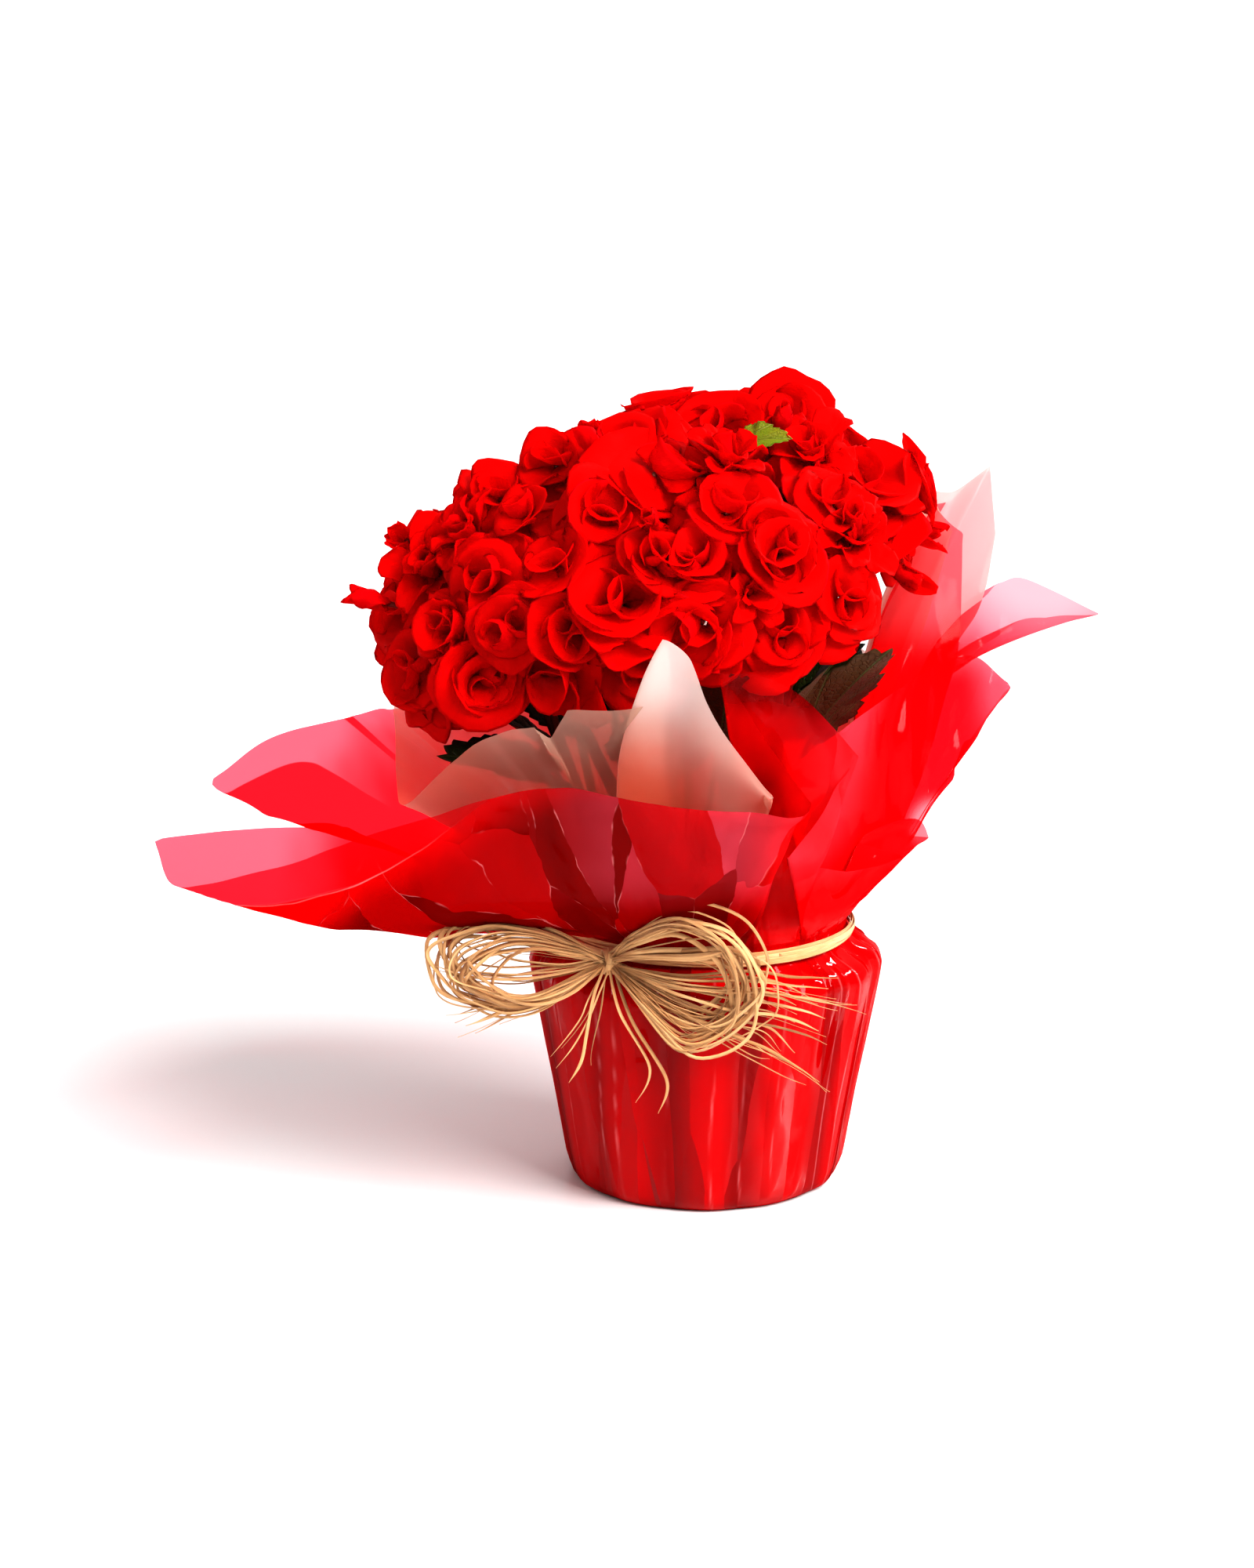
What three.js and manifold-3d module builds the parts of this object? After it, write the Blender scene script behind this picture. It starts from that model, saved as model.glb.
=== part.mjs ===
// Potted begonia: a dome of double red flowers over toothed leaves, in a pot that is wrapped in a
// milky inner film and a red outer film, drawn in at the neck and tied with raffia.
// Millimetres. X runs to the right of the front view, Y runs away from it, Z is up.
// The origin is the middle of the flat underside of the wrap.
import * as THREE from "three";
import Module from "manifold-3d";

const wasm = await Module();
wasm.setup();

const filmThick = 0.8;
const outerBaseRadius = 57;
const outerShoulderRadius = 76;
const outerNeckRadius = 64;
const neckLow = 115.2;
const neckHigh = 122.8;
const pleatCount = 11;
const pleatDepth = 1.8;
const linerInset = 1.7;
const linerLift = 1.2;

const potBaseZ = 2.4;
const potTopZ = 99.5;
const potBaseRadius = 53;
const potTopRadius = 68;
const potLipRadius = 71.3;
const potWall = 1.8;
const soilTopZ = 91;
const stemHoleRadius = 4.2;
const stemRadius = 3.5;
const stemFootZ = 58;

const domeCentre = new THREE.Vector3(-25, 0, 258);
const domeSemi = new THREE.Vector3(133, 115, 100);
const domeTilt = 0.17;
const junctionDepth = 0.5;
const bladeThick = 0.7;
const bloomColumns = 10;

const colours = {
  outerFilm: 0xd2051b,
  liner: 0xe9ded6,
  pot: 0x8a4a33,
  soil: 0x2b1d14,
  stem: 0x4c6b2c,
  flower: 0xd20812,
  youngLeaf: 0x9fbf2f,
  raffia: 0xcfa868,
};

// Edge of the outer film: angle at the neck, then the edge point, then how far the rib swells out.
const outerEdge = [
  [-176, -158, -22, 168, 2],
  [-172.5, -200, -44, 173, 2],
  [-169.5, -242, -58, 172, 1],
  [-166, -234, -67, 157, 2],
  [-161, -217, -85, 162, 4],
  [-153, -168, -107, 180, 6],
  [-144, -134, -122, 194, 8],
  [-132, -87, -138, 213, 10],
  [-120, -66, -142, 216, 10],
  [-108, -40, -143, 212, 9],
  [-98, -12, -142, 208, 8],
  [-89, 12, -138, 206, 7],
  [-82, 30, -132, 205, 5],
  [-75, 40, -116, 204, 2],
  [-70, 20, -108, 234, -1],
  [-66, 3, -110, 258, -2],
  [-60, 26, -112, 257, -2],
  [-54, 65, -106, 221, 0],
  [-49, 36, -94, 177, 1],
  [-45, 88, -38, 157, 3],
  [-40, 58, -56, 206, 0],
  [-34, 66, -34, 218, 0],
  [-28, 87, -10, 229, 0],
  [-20, 119, 10, 238, 1],
  [-14, 137, 13, 228, 3],
  [-10, 120, 8, 204, 3],
  [-6, 98, 0, 171, 2],
  [-2, 102, 6, 160, 2],
  [4, 88, 24, 150, 0],
  [9, 96, 46, 198, 0],
  [15, 116, 92, 261, 0],
  [20, 121, 90, 230, 0],
  [25, 138, 77, 256, 1],
  [32, 184, 77, 242, 2],
  [40, 150, 88, 236, 3],
  [48, 116, 100, 205, 4],
  [60, 80, 132, 196, 6],
  [75, 44, 144, 208, 8],
  [90, -2, 142, 200, 8],
  [105, -48, 142, 197, 8],
  [119, -92, 142, 190, 7],
  [132, -130, 128, 184, 5],
  [144, -146, 96, 192, 3],
  [154, -158, 74, 196, 2],
  [160, -164, 62, 197, 1],
  [166, -202, 52, 189, 1],
  [172, -227, 40, 176, 1],
  [177, -190, 16, 162, 1],
];

// Edge of the milky liner, in the same terms.
const linerEdge = [
  [-176, -139, 12, 203, -5],
  [-168, -137, -24, 190, -5],
  [-160, -132, -60, 188, -5],
  [-152, -116, -84, 207, -6],
  [-142, -99, -99, 225, -6],
  [-133, -84, -108, 237, -6],
  [-125, -70, -114, 243, -6],
  [-119.5, -64, -103, 224, -3],
  [-114, -58, -116, 243, -6],
  [-106, -30, -117, 245, -6],
  [-101, -22, -121, 268, -6],
  [-97, -17, -123, 273, -5],
  [-93, -2, -124, 249, -4],
  [-88, 14, -126, 226, -3],
  [-83, 29, -126, 215, -2],
  [-76, 13, -67, 141, 0],
  [-64, 26, -54, 129, 0],
  [-48, 41, -45, 129, 0],
  [-30, 56, -30, 131, 0],
  [-18, 64, -12, 150, 0],
  [-8, 68, 14, 186, 0],
  [0, 72, 30, 212, 0],
  [8, 86, 45, 250, -2],
  [14, 102, 57, 296, -3],
  [21, 130, 61, 311, -3],
  [26, 123, 63, 284, 0],
  [31, 133, 62, 280, 0],
  [37, 109, 60, 231, -1],
  [46, 84, 74, 222, -3],
  [60, 66, 98, 226, -4],
  [75, 34, 112, 232, -6],
  [92, -10, 114, 236, -6],
  [110, -60, 112, 238, -6],
  [126, -98, 96, 226, -6],
  [140, -118, 78, 214, -5],
  [152, -138, 60, 210, -5],
  [166, -141, 40, 206, -5],
];

// Flowers: centre, then half width. They follow the outline of the dome as it is seen from the front.
const frontBlooms = [
  [33, 6, 348, 19],
  [5, 3, 345, 18],
  [-34, -16, 340, 16],
  [-67, -2, 329, 17],
  [-90, -8, 316, 17],
  [-21, -49, 334, 20],
  [10, -42, 338, 15],
  [-45, -68, 318, 18],
  [8, -72, 322, 18],
  [72, -10, 322, 21],
  [94, 8, 316, 14],
  [87, 2, 295, 14],
  [31, -80, 305, 20],
  [60, -66, 281, 18],
  [32, -82, 269, 16],
  [64, -52, 305, 17],
  [47, -24, 335, 15],
  [-38, -94, 286, 21],
  [-4, -97, 276, 17],
  [-64, -89, 252, 19],
  [-95, -66, 287, 19],
  [-68, -78, 299, 17],
  [-105, -28, 301, 17],
  [-122, -20, 284, 16],
  [-137, -4, 262, 17],
  [-128, -40, 243, 17],
  [-99, -72, 248, 18],
  [-29, -89, 258, 15],
  [-4, -88, 300, 16],
  [-79, -48, 315, 17],
  [-56, -94, 273, 14],
  [-84, -84, 271, 15],
  [54, -52, 321, 15],
  [17, -91, 288, 13],
  [-20, -87, 304, 15],
  [-112, -60, 266, 15],
];

// Flower buds: centre and half width.
const budSites = [
  [32, -22, 351, 8],
  [-50, -30, 345, 8],
  [-25, -84, 322, 7],
  [92, -18, 280, 7],
  [-154, -22, 276, 7],
  [-137, -2, 298, 6],
  [106, 14, 296, 6],
];

// Flower stalk clusters: direction from the middle of the dome and the stem each grows from.
const sprays = [
  ["flowers_front_left", -112, 12, 0],
  ["flowers_front_right", -72, 12, 0],
  ["flowers_front_high", -92, 44, 0],
  ["flowers_right_front", -38, 12, 1],
  ["flowers_right", 4, 24, 1],
  ["flowers_right_high", -30, 50, 1],
  ["flowers_back_right", 38, 16, 2],
  ["flowers_back", 76, 14, 2],
  ["flowers_back_high", 55, 52, 2],
  ["flowers_back_left", 112, 14, 3],
  ["flowers_left_back", 148, 12, 3],
  ["flowers_left_high", 130, 48, 3],
  ["flowers_left", -178, 20, 4],
  ["flowers_left_front", -145, 12, 4],
  ["flowers_left_top", -160, 48, 4],
  ["flowers_top", 60, 82, 2],
];

// Leafy stems, by their direction from the pot's axis.
const stemSites = [
  ["leafy_stem_front", -90],
  ["leafy_stem_right", -18],
  ["leafy_stem_back", 54],
  ["leafy_stem_far", 126],
  ["leafy_stem_left", 198],
];

// Leaves: stem, direction, distance from the pot's axis, height, rise of the blade, length, width, roll.
const leafSites = [
  [0, -108, 46, 194, 42, 48, 44, 8],
  [0, -79, 50, 200, 44, 50, 42, -8],
  [1, -42, 50, 204, 47, 52, 43, 18],
  [1, -14, 48, 200, 46, 50, 44, -14],
  [2, 30, 46, 196, 38, 46, 44, 10],
  [2, 68, 50, 196, 38, 50, 44, -10],
  [3, 111, 50, 196, 38, 50, 44, 10],
  [3, 146, 56, 194, 30, 52, 46, -8],
  [4, 180, 60, 192, 26, 54, 46, 8],
  [4, 214, 62, 192, 27, 56, 44, -16],
];

// Leaves between the flower stalks: stem, direction and height angle on the inner dome, size.
const innerLeafSites = [
  [0, -92, 22, 46],
  [1, -12, 34, 44],
];

let seed = 20417;
function draw() {
  seed = (Math.imul(seed, 1664525) + 1013904223) >>> 0;
  return seed / 4294967296;
}

const rad = THREE.MathUtils.degToRad;

function polar(radius, degrees, z) {
  return new THREE.Vector3(radius * Math.cos(rad(degrees)), radius * Math.sin(rad(degrees)), z);
}

// A point of the flower dome, scaled towards its middle by depth.
function domePoint(azimuth, elevation, depth) {
  const unit = polar(Math.cos(rad(elevation)), azimuth, Math.sin(rad(elevation)));
  const point = unit.multiply(domeSemi).multiplyScalar(depth);
  point.z += domeTilt * point.x;
  return point.add(domeCentre);
}

// Outward direction of the dome at a point.
function domeNormal(point) {
  const local = point.clone().sub(domeCentre);
  local.z -= domeTilt * local.x;
  return local.divide(domeSemi).divide(domeSemi).normalize();
}

// A closed solid of points and faces, with its faces turned out.
function closed(points, faces) {
  let volume = 0;
  for (const [a, b, c] of faces) volume += points[a].dot(points[b].clone().cross(points[c]));
  if (volume < 0) faces.forEach((face) => face.reverse());
  return new wasm.Manifold(new wasm.Mesh({
    numProp: 3,
    vertProperties: new Float32Array(points.flatMap((p) => [p.x, p.y, p.z])),
    triVerts: new Uint32Array(faces.flat()),
  }));
}

// Triangles between two rings, which may differ in their number of points.
function zipped(low, lowCount, high, highCount) {
  const faces = [];
  let i = 0;
  let j = 0;
  while (i < lowCount || j < highCount) {
    const a = low + (i % lowCount);
    const b = high + (j % highCount);
    if ((i + 1) * highCount <= (j + 1) * lowCount) {
      i++;
      faces.push([a, low + (i % lowCount), b]);
    } else {
      j++;
      faces.push([a, high + (j % highCount), b]);
    }
  }
  return faces;
}

// A closed solid from a first pole, rings round a common path, and a last pole.
function ringSolid(first, rings, last) {
  const points = [first, ...rings.flat(), last];
  const faces = [];
  let start = 1;
  rings.forEach((ring, r) => {
    const count = ring.length;
    for (let c = 0; c < count; c++) {
      const next = (c + 1) % count;
      if (r === 0) faces.push([0, start + next, start + c]);
      if (r === rings.length - 1) faces.push([start + c, start + next, points.length - 1]);
    }
    if (r + 1 < rings.length) faces.push(...zipped(start, count, start + count, rings[r + 1].length));
    start += count;
  });
  return closed(points, faces);
}

function joined(solids) {
  return solids.reduce((whole, piece) => whole.add(piece));
}

const group = new THREE.Group();

function place(name, solid, colour, roughness, opacity = 1) {
  const mesh = solid.getMesh();
  const geometry = new THREE.BufferGeometry();
  geometry.setAttribute("position", new THREE.BufferAttribute(new Float32Array(mesh.vertProperties), 3));
  geometry.setIndex(new THREE.BufferAttribute(new Uint32Array(mesh.triVerts), 1));
  geometry.computeVertexNormals();
  const material = new THREE.MeshStandardMaterial({ color: colour, roughness, metalness: 0 });
  material.transparent = opacity < 1;
  material.opacity = opacity;
  const piece = new THREE.Mesh(geometry, material);
  piece.name = name;
  group.add(piece);
}

// A round rod along points, with a radius for each point.
function rod(points, radii, sides) {
  const rings = [];
  let side = new THREE.Vector3(0.31, 0.87, 0.38);
  for (let i = 0; i < points.length; i++) {
    const before = points[Math.max(i - 1, 0)];
    const after = points[Math.min(i + 1, points.length - 1)];
    const along = after.clone().sub(before).normalize();
    side = side.clone().addScaledVector(along, -side.dot(along)).normalize();
    const other = along.clone().cross(side);
    const ring = [];
    for (let s = 0; s < sides; s++) {
      const angle = (2 * Math.PI * s) / sides;
      const offset = side.clone().multiplyScalar(Math.cos(angle)).addScaledVector(other, Math.sin(angle));
      ring.push(points[i].clone().addScaledVector(offset, radii[i]));
    }
    rings.push(ring);
  }
  return ringSolid(points[0], rings, points[points.length - 1]);
}

// Control ribs of a film, with a rounded rib between two that stand far apart.
function filmRibs(edge) {
  const ribs = [];
  for (let i = 0; i < edge.length; i++) {
    const here = edge[i];
    const after = edge[(i + 1) % edge.length];
    const gap = (after[0] - here[0] + 360) % 360;
    ribs.push(here);
    if (gap < 11) continue;
    const before = edge[(i + edge.length - 1) % edge.length];
    const beyond = edge[(i + 2) % edge.length];
    const middle = [here[0] + gap / 2];
    for (let k = 1; k < 5; k++) {
      middle.push((9 * (here[k] + after[k]) - before[k] - beyond[k]) / 16);
    }
    ribs.push(middle);
  }
  return ribs;
}

// A gathered sheet: flat under the pot, up round it, in at the neck, then out along its ribs.
function filmSheet(edge, body, neckRadius, steps, pleated) {
  const ribs = filmRibs(edge);
  const rows = body.map(([radius, z, swell]) => ribs.map(([angle]) => {
    const pleat = pleated ? 0.5 + 0.5 * Math.cos(rad(angle) * pleatCount) : 0;
    return polar(radius + swell * pleatDepth * pleat, angle, z);
  }));
  const neck = ribs.map(([angle]) => polar(neckRadius, angle, neckHigh));
  for (const t of steps) {
    rows.push(ribs.map(([angle, x, y, z, bow], c) => {
      const tip = new THREE.Vector3(x, y, z);
      const middle = Math.atan2((neck[c].y + y) / 2, (neck[c].x + x) / 2);
      const out = new THREE.Vector3(Math.cos(middle), Math.sin(middle), -0.5);
      return neck[c].clone().lerp(tip, t).addScaledVector(out, bow * 4 * t * (1 - t));
    }));
  }
  const centre = new THREE.Vector3(0, 0, body[0][1]);
  const sides = [filmThick / 2, -filmThick / 2].map((offset) => rows.map((row, r) => row.map((point, c) => {
    if (r === 0) return new THREE.Vector3(point.x, point.y, point.z - offset);
    return point.clone().addScaledVector(sheetNormal(rows, r, c), offset);
  })));
  const under = new THREE.Vector3(0, 0, centre.z - filmThick / 2);
  const above = new THREE.Vector3(0, 0, centre.z + filmThick / 2);
  return ringSolid(under, [...sides[0], ...sides[1].reverse()], above);
}

// Outward normal of a sheet's grid at one of its points.
function sheetNormal(rows, r, c) {
  const count = rows[0].length;
  const up = rows[Math.min(r + 1, rows.length - 1)][c].clone().sub(rows[r - 1][c]);
  const across = rows[r][(c + 1) % count].clone().sub(rows[r][(c + count - 1) % count]);
  return across.cross(up).normalize();
}

function makeFilms() {
  const outerBody = [
    [outerBaseRadius, filmThick / 2, 0.2],
    [outerBaseRadius + 3.5, 7, 0.8],
    [outerShoulderRadius, 99, 0.8],
    [outerNeckRadius, neckLow, 0],
    [outerNeckRadius, neckHigh, 0],
  ];
  const linerBody = outerBody.filter((row, r) => r !== 1).map(([radius, z], r) => {
    return [radius - linerInset, r === 0 ? z + linerLift : z, 0];
  });
  const outer = filmSheet(outerEdge, outerBody, outerNeckRadius, [0.15, 0.42, 0.72, 1], true);
  place("film_outer", outer, colours.outerFilm, 0.18, 0.85);
  const linerNeck = outerNeckRadius - linerInset;
  const liner = filmSheet(linerEdge, linerBody, linerNeck, [0.3, 0.66, 1], false);
  place("film_liner", liner, colours.liner, 0.3, 0.9);
}

function revolved(profile, segments) {
  const rings = profile.slice(1, -1).map(([radius, z]) => {
    return Array.from({ length: segments }, (unused, s) => polar(radius, (360 * s) / segments, z));
  });
  const first = new THREE.Vector3(0, 0, profile[0][1]);
  return ringSolid(first, rings, new THREE.Vector3(0, 0, profile[profile.length - 1][1]));
}

function upright(x, y, radius, low, high, sides) {
  return rod([new THREE.Vector3(x, y, low), new THREE.Vector3(x, y, high)], [radius, radius], sides);
}

function makePot() {
  const lipZ = potTopZ - 9;
  const slope = (potTopRadius - potBaseRadius) / (lipZ - potBaseZ);
  const innerBase = potBaseRadius - potWall + slope * 3;
  const innerTop = potTopRadius - potWall;
  let pot = revolved([
    [0, potBaseZ],
    [potBaseRadius, potBaseZ],
    [potTopRadius, lipZ],
    [potLipRadius, lipZ + 0.6],
    [potLipRadius, potTopZ],
    [innerTop + 1.4, potTopZ],
    [innerTop, lipZ],
    [innerBase, potBaseZ + 3],
    [0, potBaseZ + 3],
  ], 24);
  for (let k = 0; k < 5; k++) {
    const hole = polar(34, 72 * k + 36, 0);
    pot = pot.subtract(upright(hole.x, hole.y, 4.5, potBaseZ - 2, potBaseZ + 5, 6));
  }
  place("pot", pot, colours.pot, 0.7);

  const soilLow = potBaseZ + 3.3;
  let soil = revolved([
    [0, soilLow],
    [innerBase - 0.35, soilLow],
    [innerTop - 0.55, soilTopZ - 2],
    [innerTop * 0.62, soilTopZ],
    [0, soilTopZ + 2.5],
  ], 24);
  for (const [, angle] of stemSites) {
    const foot = polar(24, angle, 0);
    soil = soil.subtract(upright(foot.x, foot.y, stemHoleRadius, stemFootZ - 0.3, soilTopZ + 20, 10));
  }
  place("soil", soil, colours.soil, 1);
}

// Every flower, bud and the young leaf has its own cell, so that no two of them cross.
const youngSite = { at: new THREE.Vector3(20, -30, 343), size: 13 };

function backBlooms() {
  const found = [];
  for (let k = 0; k < 400; k++) {
    const elevation = 2 + 76 * draw();
    const azimuth = -8 + 200 * draw();
    const at = domePoint(azimuth, elevation, 0.87);
    const size = 19 + 2.5 * draw();
    const taken = [...frontBlooms, ...found].some(([x, y, z, other]) => {
      return at.distanceTo(new THREE.Vector3(x, y, z)) < 0.8 * (size + other);
    });
    if (!taken) found.push([at.x, at.y, at.z, size]);
  }
  return found;
}

function makeSites() {
  const sites = [];
  for (const [x, y, z, size] of [...frontBlooms, ...backBlooms()]) {
    sites.push({ at: new THREE.Vector3(x, y, z), size, kind: "bloom" });
  }
  for (const [x, y, z, size] of budSites) {
    sites.push({ at: new THREE.Vector3(x, y, z), size, kind: "bud" });
  }
  sites.push({ ...youngSite, kind: "leaf" });
  for (const site of sites) {
    const lean = new THREE.Vector3(draw() - 0.5, draw() - 0.5, draw() - 0.5).multiplyScalar(0.55);
    const normal = domeNormal(site.at);
    const forward = normal.y < 0 ? 0.35 : 0;
    site.facing = normal.add(lean).add(new THREE.Vector3(0, -forward, 0.12)).normalize();
    site.turn = 2 * Math.PI * draw();
    site.walls = [];
    for (const other of sites) {
      if (other === site) continue;
      const gap = site.at.distanceTo(other.at);
      if (gap > site.size + other.size + 12) continue;
      const away = other.at.clone().sub(site.at).divideScalar(gap);
      site.walls.push({ away, reach: (gap * site.size) / (site.size + other.size) });
    }
  }
  return sites;
}

// Presses a point back from the walls of its cell, softly at first and never through them.
function pressed(site, point) {
  const soft = 4.5;
  const least = 0.3;
  const result = point.clone();
  for (let pass = 0; pass < 3; pass++) {
    for (const { away, reach } of site.walls) {
      const room = reach - result.clone().sub(site.at).dot(away);
      if (pass === 0 && room < soft) {
        const kept = least + (soft - least) * Math.exp((room - soft) / (soft - least));
        result.addScaledVector(away, room - kept);
      }
      if (pass > 0 && room < least) result.addScaledVector(away, room - least);
    }
  }
  return result;
}

function frameOf(site) {
  const helper = Math.abs(site.facing.z) > 0.9 ? new THREE.Vector3(1, 0, 0) : new THREE.Vector3(0, 0, 1);
  const across = helper.cross(site.facing).normalize();
  const up = site.facing.clone().cross(across);
  return (x, y, z) => site.at.clone()
    .addScaledVector(across, x).addScaledVector(up, y).addScaledVector(site.facing, z);
}

// Three-sided rings of a stalk, from the first point of its path to the flower at its last.
function stalkRings(path, radius, towards) {
  const rings = [];
  let side = towards;
  for (let i = path.length - 1; i >= 0; i--) {
    const along = path[Math.min(i + 1, path.length - 1)].clone().sub(path[Math.max(i - 1, 0)]).normalize();
    side = side.clone().addScaledVector(along, -side.dot(along)).normalize();
    const other = along.clone().cross(side);
    rings.unshift([0, 120, 240].map((degrees) => path[i].clone()
      .addScaledVector(side, radius * Math.cos(rad(degrees)))
      .addScaledVector(other, radius * Math.sin(rad(degrees)))));
  }
  return rings;
}

// A double flower: five broad outer petals, five shorter inner ones over their gaps, and a heart.
function bloom(site, path) {
  const local = frameOf(site);
  const towards = local(Math.cos(site.turn), Math.sin(site.turn), 0).sub(site.at);
  const size = site.size;
  const ring = (radius, height, lobes, ruffle) => Array.from({ length: bloomColumns }, (unused, c) => {
    const angle = site.turn + (2 * Math.PI * c) / bloomColumns;
    const reach = size * radius * lobes(c);
    const lift = size * (height + ruffle * Math.cos(c * 2.4 + site.turn * 3));
    return pressed(site, local(reach * Math.cos(angle), reach * Math.sin(angle), lift));
  });
  const even = () => 1;
  const outerLobes = (c) => (c % 2 ? 0.88 : 1.06);
  const innerLobes = (c) => (c % 2 ? 1.06 : 0.84);
  const rings = [
    ...stalkRings(path, 1.4, towards),
    ring(0.68, -0.42, even, 0.02),
    ring(1.4, -0.04, outerLobes, 0.1),
    ring(0.56, -0.18, even, 0),
    ring(0.92, 0.3, innerLobes, 0.07),
    ring(0.32, 0.08, even, 0),
  ];
  return ringSolid(path[0], rings, pressed(site, local(0, 0, 0.5 * size)));
}

// A closed bud: two broad petals pressed together.
function bud(site, path) {
  const local = frameOf(site);
  const towards = local(Math.cos(site.turn), Math.sin(site.turn), 0).sub(site.at);
  const profile = [[0.6, -0.6], [1, 0], [0.62, 0.85]];
  const rings = profile.map(([radius, height]) => Array.from({ length: 6 }, (unused, c) => {
    const angle = site.turn + (2 * Math.PI * c) / 6;
    const reach = site.size * radius;
    return pressed(site, local(reach * Math.cos(angle), reach * 0.6 * Math.sin(angle), site.size * height));
  }));
  const all = [...stalkRings(path, 1.2, towards), ...rings];
  return ringSolid(path[0], all, pressed(site, local(0, 0, 1.2 * site.size)));
}

function makeSprays(sites) {
  const clusters = sprays.map(([name, azimuth, elevation, stem]) => {
    const heart = domePoint(azimuth, elevation, junctionDepth);
    const aim = heart.clone().sub(stemPath(stem)[3]).normalize();
    return { name, stem, heart, aim, front: domePoint(azimuth, elevation, 0.88), sites: [], stalks: [] };
  });
  for (const site of sites) {
    if (site.kind === "leaf") continue;
    clusters.sort((a, b) => a.front.distanceTo(site.at) - b.front.distanceTo(site.at));
    clusters[0].sites.push(site);
  }
  for (const cluster of clusters) {
    if (!cluster.sites.length) continue;
    const foot = cluster.heart.clone().addScaledVector(cluster.aim, -4.6);
    const end = cluster.heart.clone().addScaledVector(cluster.aim, 1.6);
    const solids = [rod([foot, cluster.heart, end], [1.7, 2.5, 1.2], 4)];
    for (const site of cluster.sites) {
      const flower = site.kind === "bloom";
      const deep = flower ? 0.52 : 0.95;
      const local = frameOf(site);
      const base = pressed(site, local(0, 0, -deep * site.size));
      const back = local(0, 0, -deep * site.size - 9).lerp(cluster.heart, 0.15);
      const path = [cluster.heart, back, base];
      cluster.stalks.push(path);
      solids.push(flower ? bloom(site, path) : bud(site, path));
    }
    place(cluster.name, joined(solids), colours.flower, 0.55);
  }
  return clusters;
}

// A toothed begonia leaf: a lopsided heart, folded a little along its midrib, with a waved margin.
function leafBlade(base, along, normal, length, width, columns) {
  const side = normal.clone().cross(along).normalize();
  const centre = 0.36 * length;
  const layer = (offset) => {
    const at = (fraction, c) => {
      const angle = (2 * Math.PI * c) / columns;
      const tooth = c % 2 ? 0.93 : 1.05;
      const lopsided = Math.sin(angle) > 0 ? 1.08 : 0.9;
      const tip = 0.36 + 0.28 * Math.max(0, Math.cos(angle)) ** 3 + (2 * c === columns ? -0.2 : 0.02);
      const p = centre + fraction * tooth * length * tip * Math.cos(angle);
      const q = fraction * tooth * (width / 2) * lopsided * Math.sin(angle);
      const fold = 0.22 * Math.abs(q) - (0.16 * (p * p + q * q)) / length;
      const wave = fraction * 1.1 * Math.sin(3 * angle + length);
      return base.clone().addScaledVector(along, p).addScaledVector(side, q)
        .addScaledVector(normal, fold + wave + offset);
    };
    const inner = Array.from({ length: columns / 2 }, (unused, c) => at(0.55, 2 * c));
    const rings = [inner, Array.from({ length: columns }, (unused, c) => at(1, c))];
    return { pole: at(0, 0), rings };
  };
  const top = layer(bladeThick / 2);
  const bottom = layer(-bladeThick / 2);
  return ringSolid(top.pole, [...top.rings, ...bottom.rings.reverse()], bottom.pole);
}

function stemPath(index) {
  const angle = stemSites[index][1];
  const bend = polar(32, angle, 130).add(new THREE.Vector3(-4, 0, 0));
  const crown = polar(38, angle, 156).add(new THREE.Vector3(-10, 0, 0));
  return [polar(24, angle, stemFootZ), polar(24, angle, 98), bend, crown];
}

function makeStems(clusters) {
  stemSites.forEach(([name, direction], index) => {
    const path = stemPath(index);
    const crown = path[path.length - 1];
    const solids = [rod(path, [stemRadius, stemRadius, 3.1, 2.9], 6)];
    for (const cluster of clusters) {
      if (cluster.stem !== index || !cluster.sites.length) continue;
      const end = cluster.heart.clone().addScaledVector(cluster.aim, -4.95);
      const bend = crown.clone().lerp(end, 0.5).addScaledVector(polar(1, direction, 0), 2);
      solids.push(rod([crown.clone().lerp(path[2], 0.1), bend, end], [2.2, 1.9, 1.6], 4));
    }
    for (const [stem, azimuth, radius, z, rise, length, width, roll] of leafSites) {
      if (stem !== index) continue;
      const base = polar(radius, azimuth, z).add(new THREE.Vector3(-6, 0, 0));
      const along = polar(Math.cos(rad(rise)), azimuth, Math.sin(rad(rise)));
      const normal = polar(-Math.sin(rad(rise)), azimuth, Math.cos(rad(rise))).applyAxisAngle(along, rad(roll));
      solids.push(leafBlade(base, along, normal, length, width, 14));
      const joint = path[2].clone().lerp(crown, 0.4);
      const bend = joint.clone().lerp(base, 0.55).add(new THREE.Vector3(0, 0, -4));
      const seat = base.clone().addScaledVector(along, 0.32 * length);
      solids.push(rod([joint, bend, seat], [1.7, 1.6, 1.1], 3));
    }
    let plant = joined(solids);
    for (const [stem, azimuth, elevation, size] of innerLeafSites) {
      if (stem !== index) continue;
      const tip = domePoint(azimuth, elevation, 0.62);
      const normal = domeNormal(tip);
      const along = new THREE.Vector3(0, 0, 1).addScaledVector(normal, -normal.z).normalize();
      const base = tip.clone().addScaledVector(along, -0.4 * size).addScaledVector(normal, -2);
      const seat = base.clone().addScaledVector(along, 0.32 * size);
      const petiole = rod([crown.clone().lerp(path[2], 0.25), seat], [1.6, 1.1], 3);
      let blade = leafBlade(base, along, normal, size, size * 0.95, 12).add(petiole);
      for (const path of clusters.flatMap((cluster) => cluster.stalks)) {
        if (path[1].distanceTo(tip) < 0.9 * size) blade = blade.subtract(rod(path, [2.6, 2.1, 2.1], 4));
      }
      plant = plant.add(blade);
    }
    place(name, plant, colours.stem, 0.5);
  });
}

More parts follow.
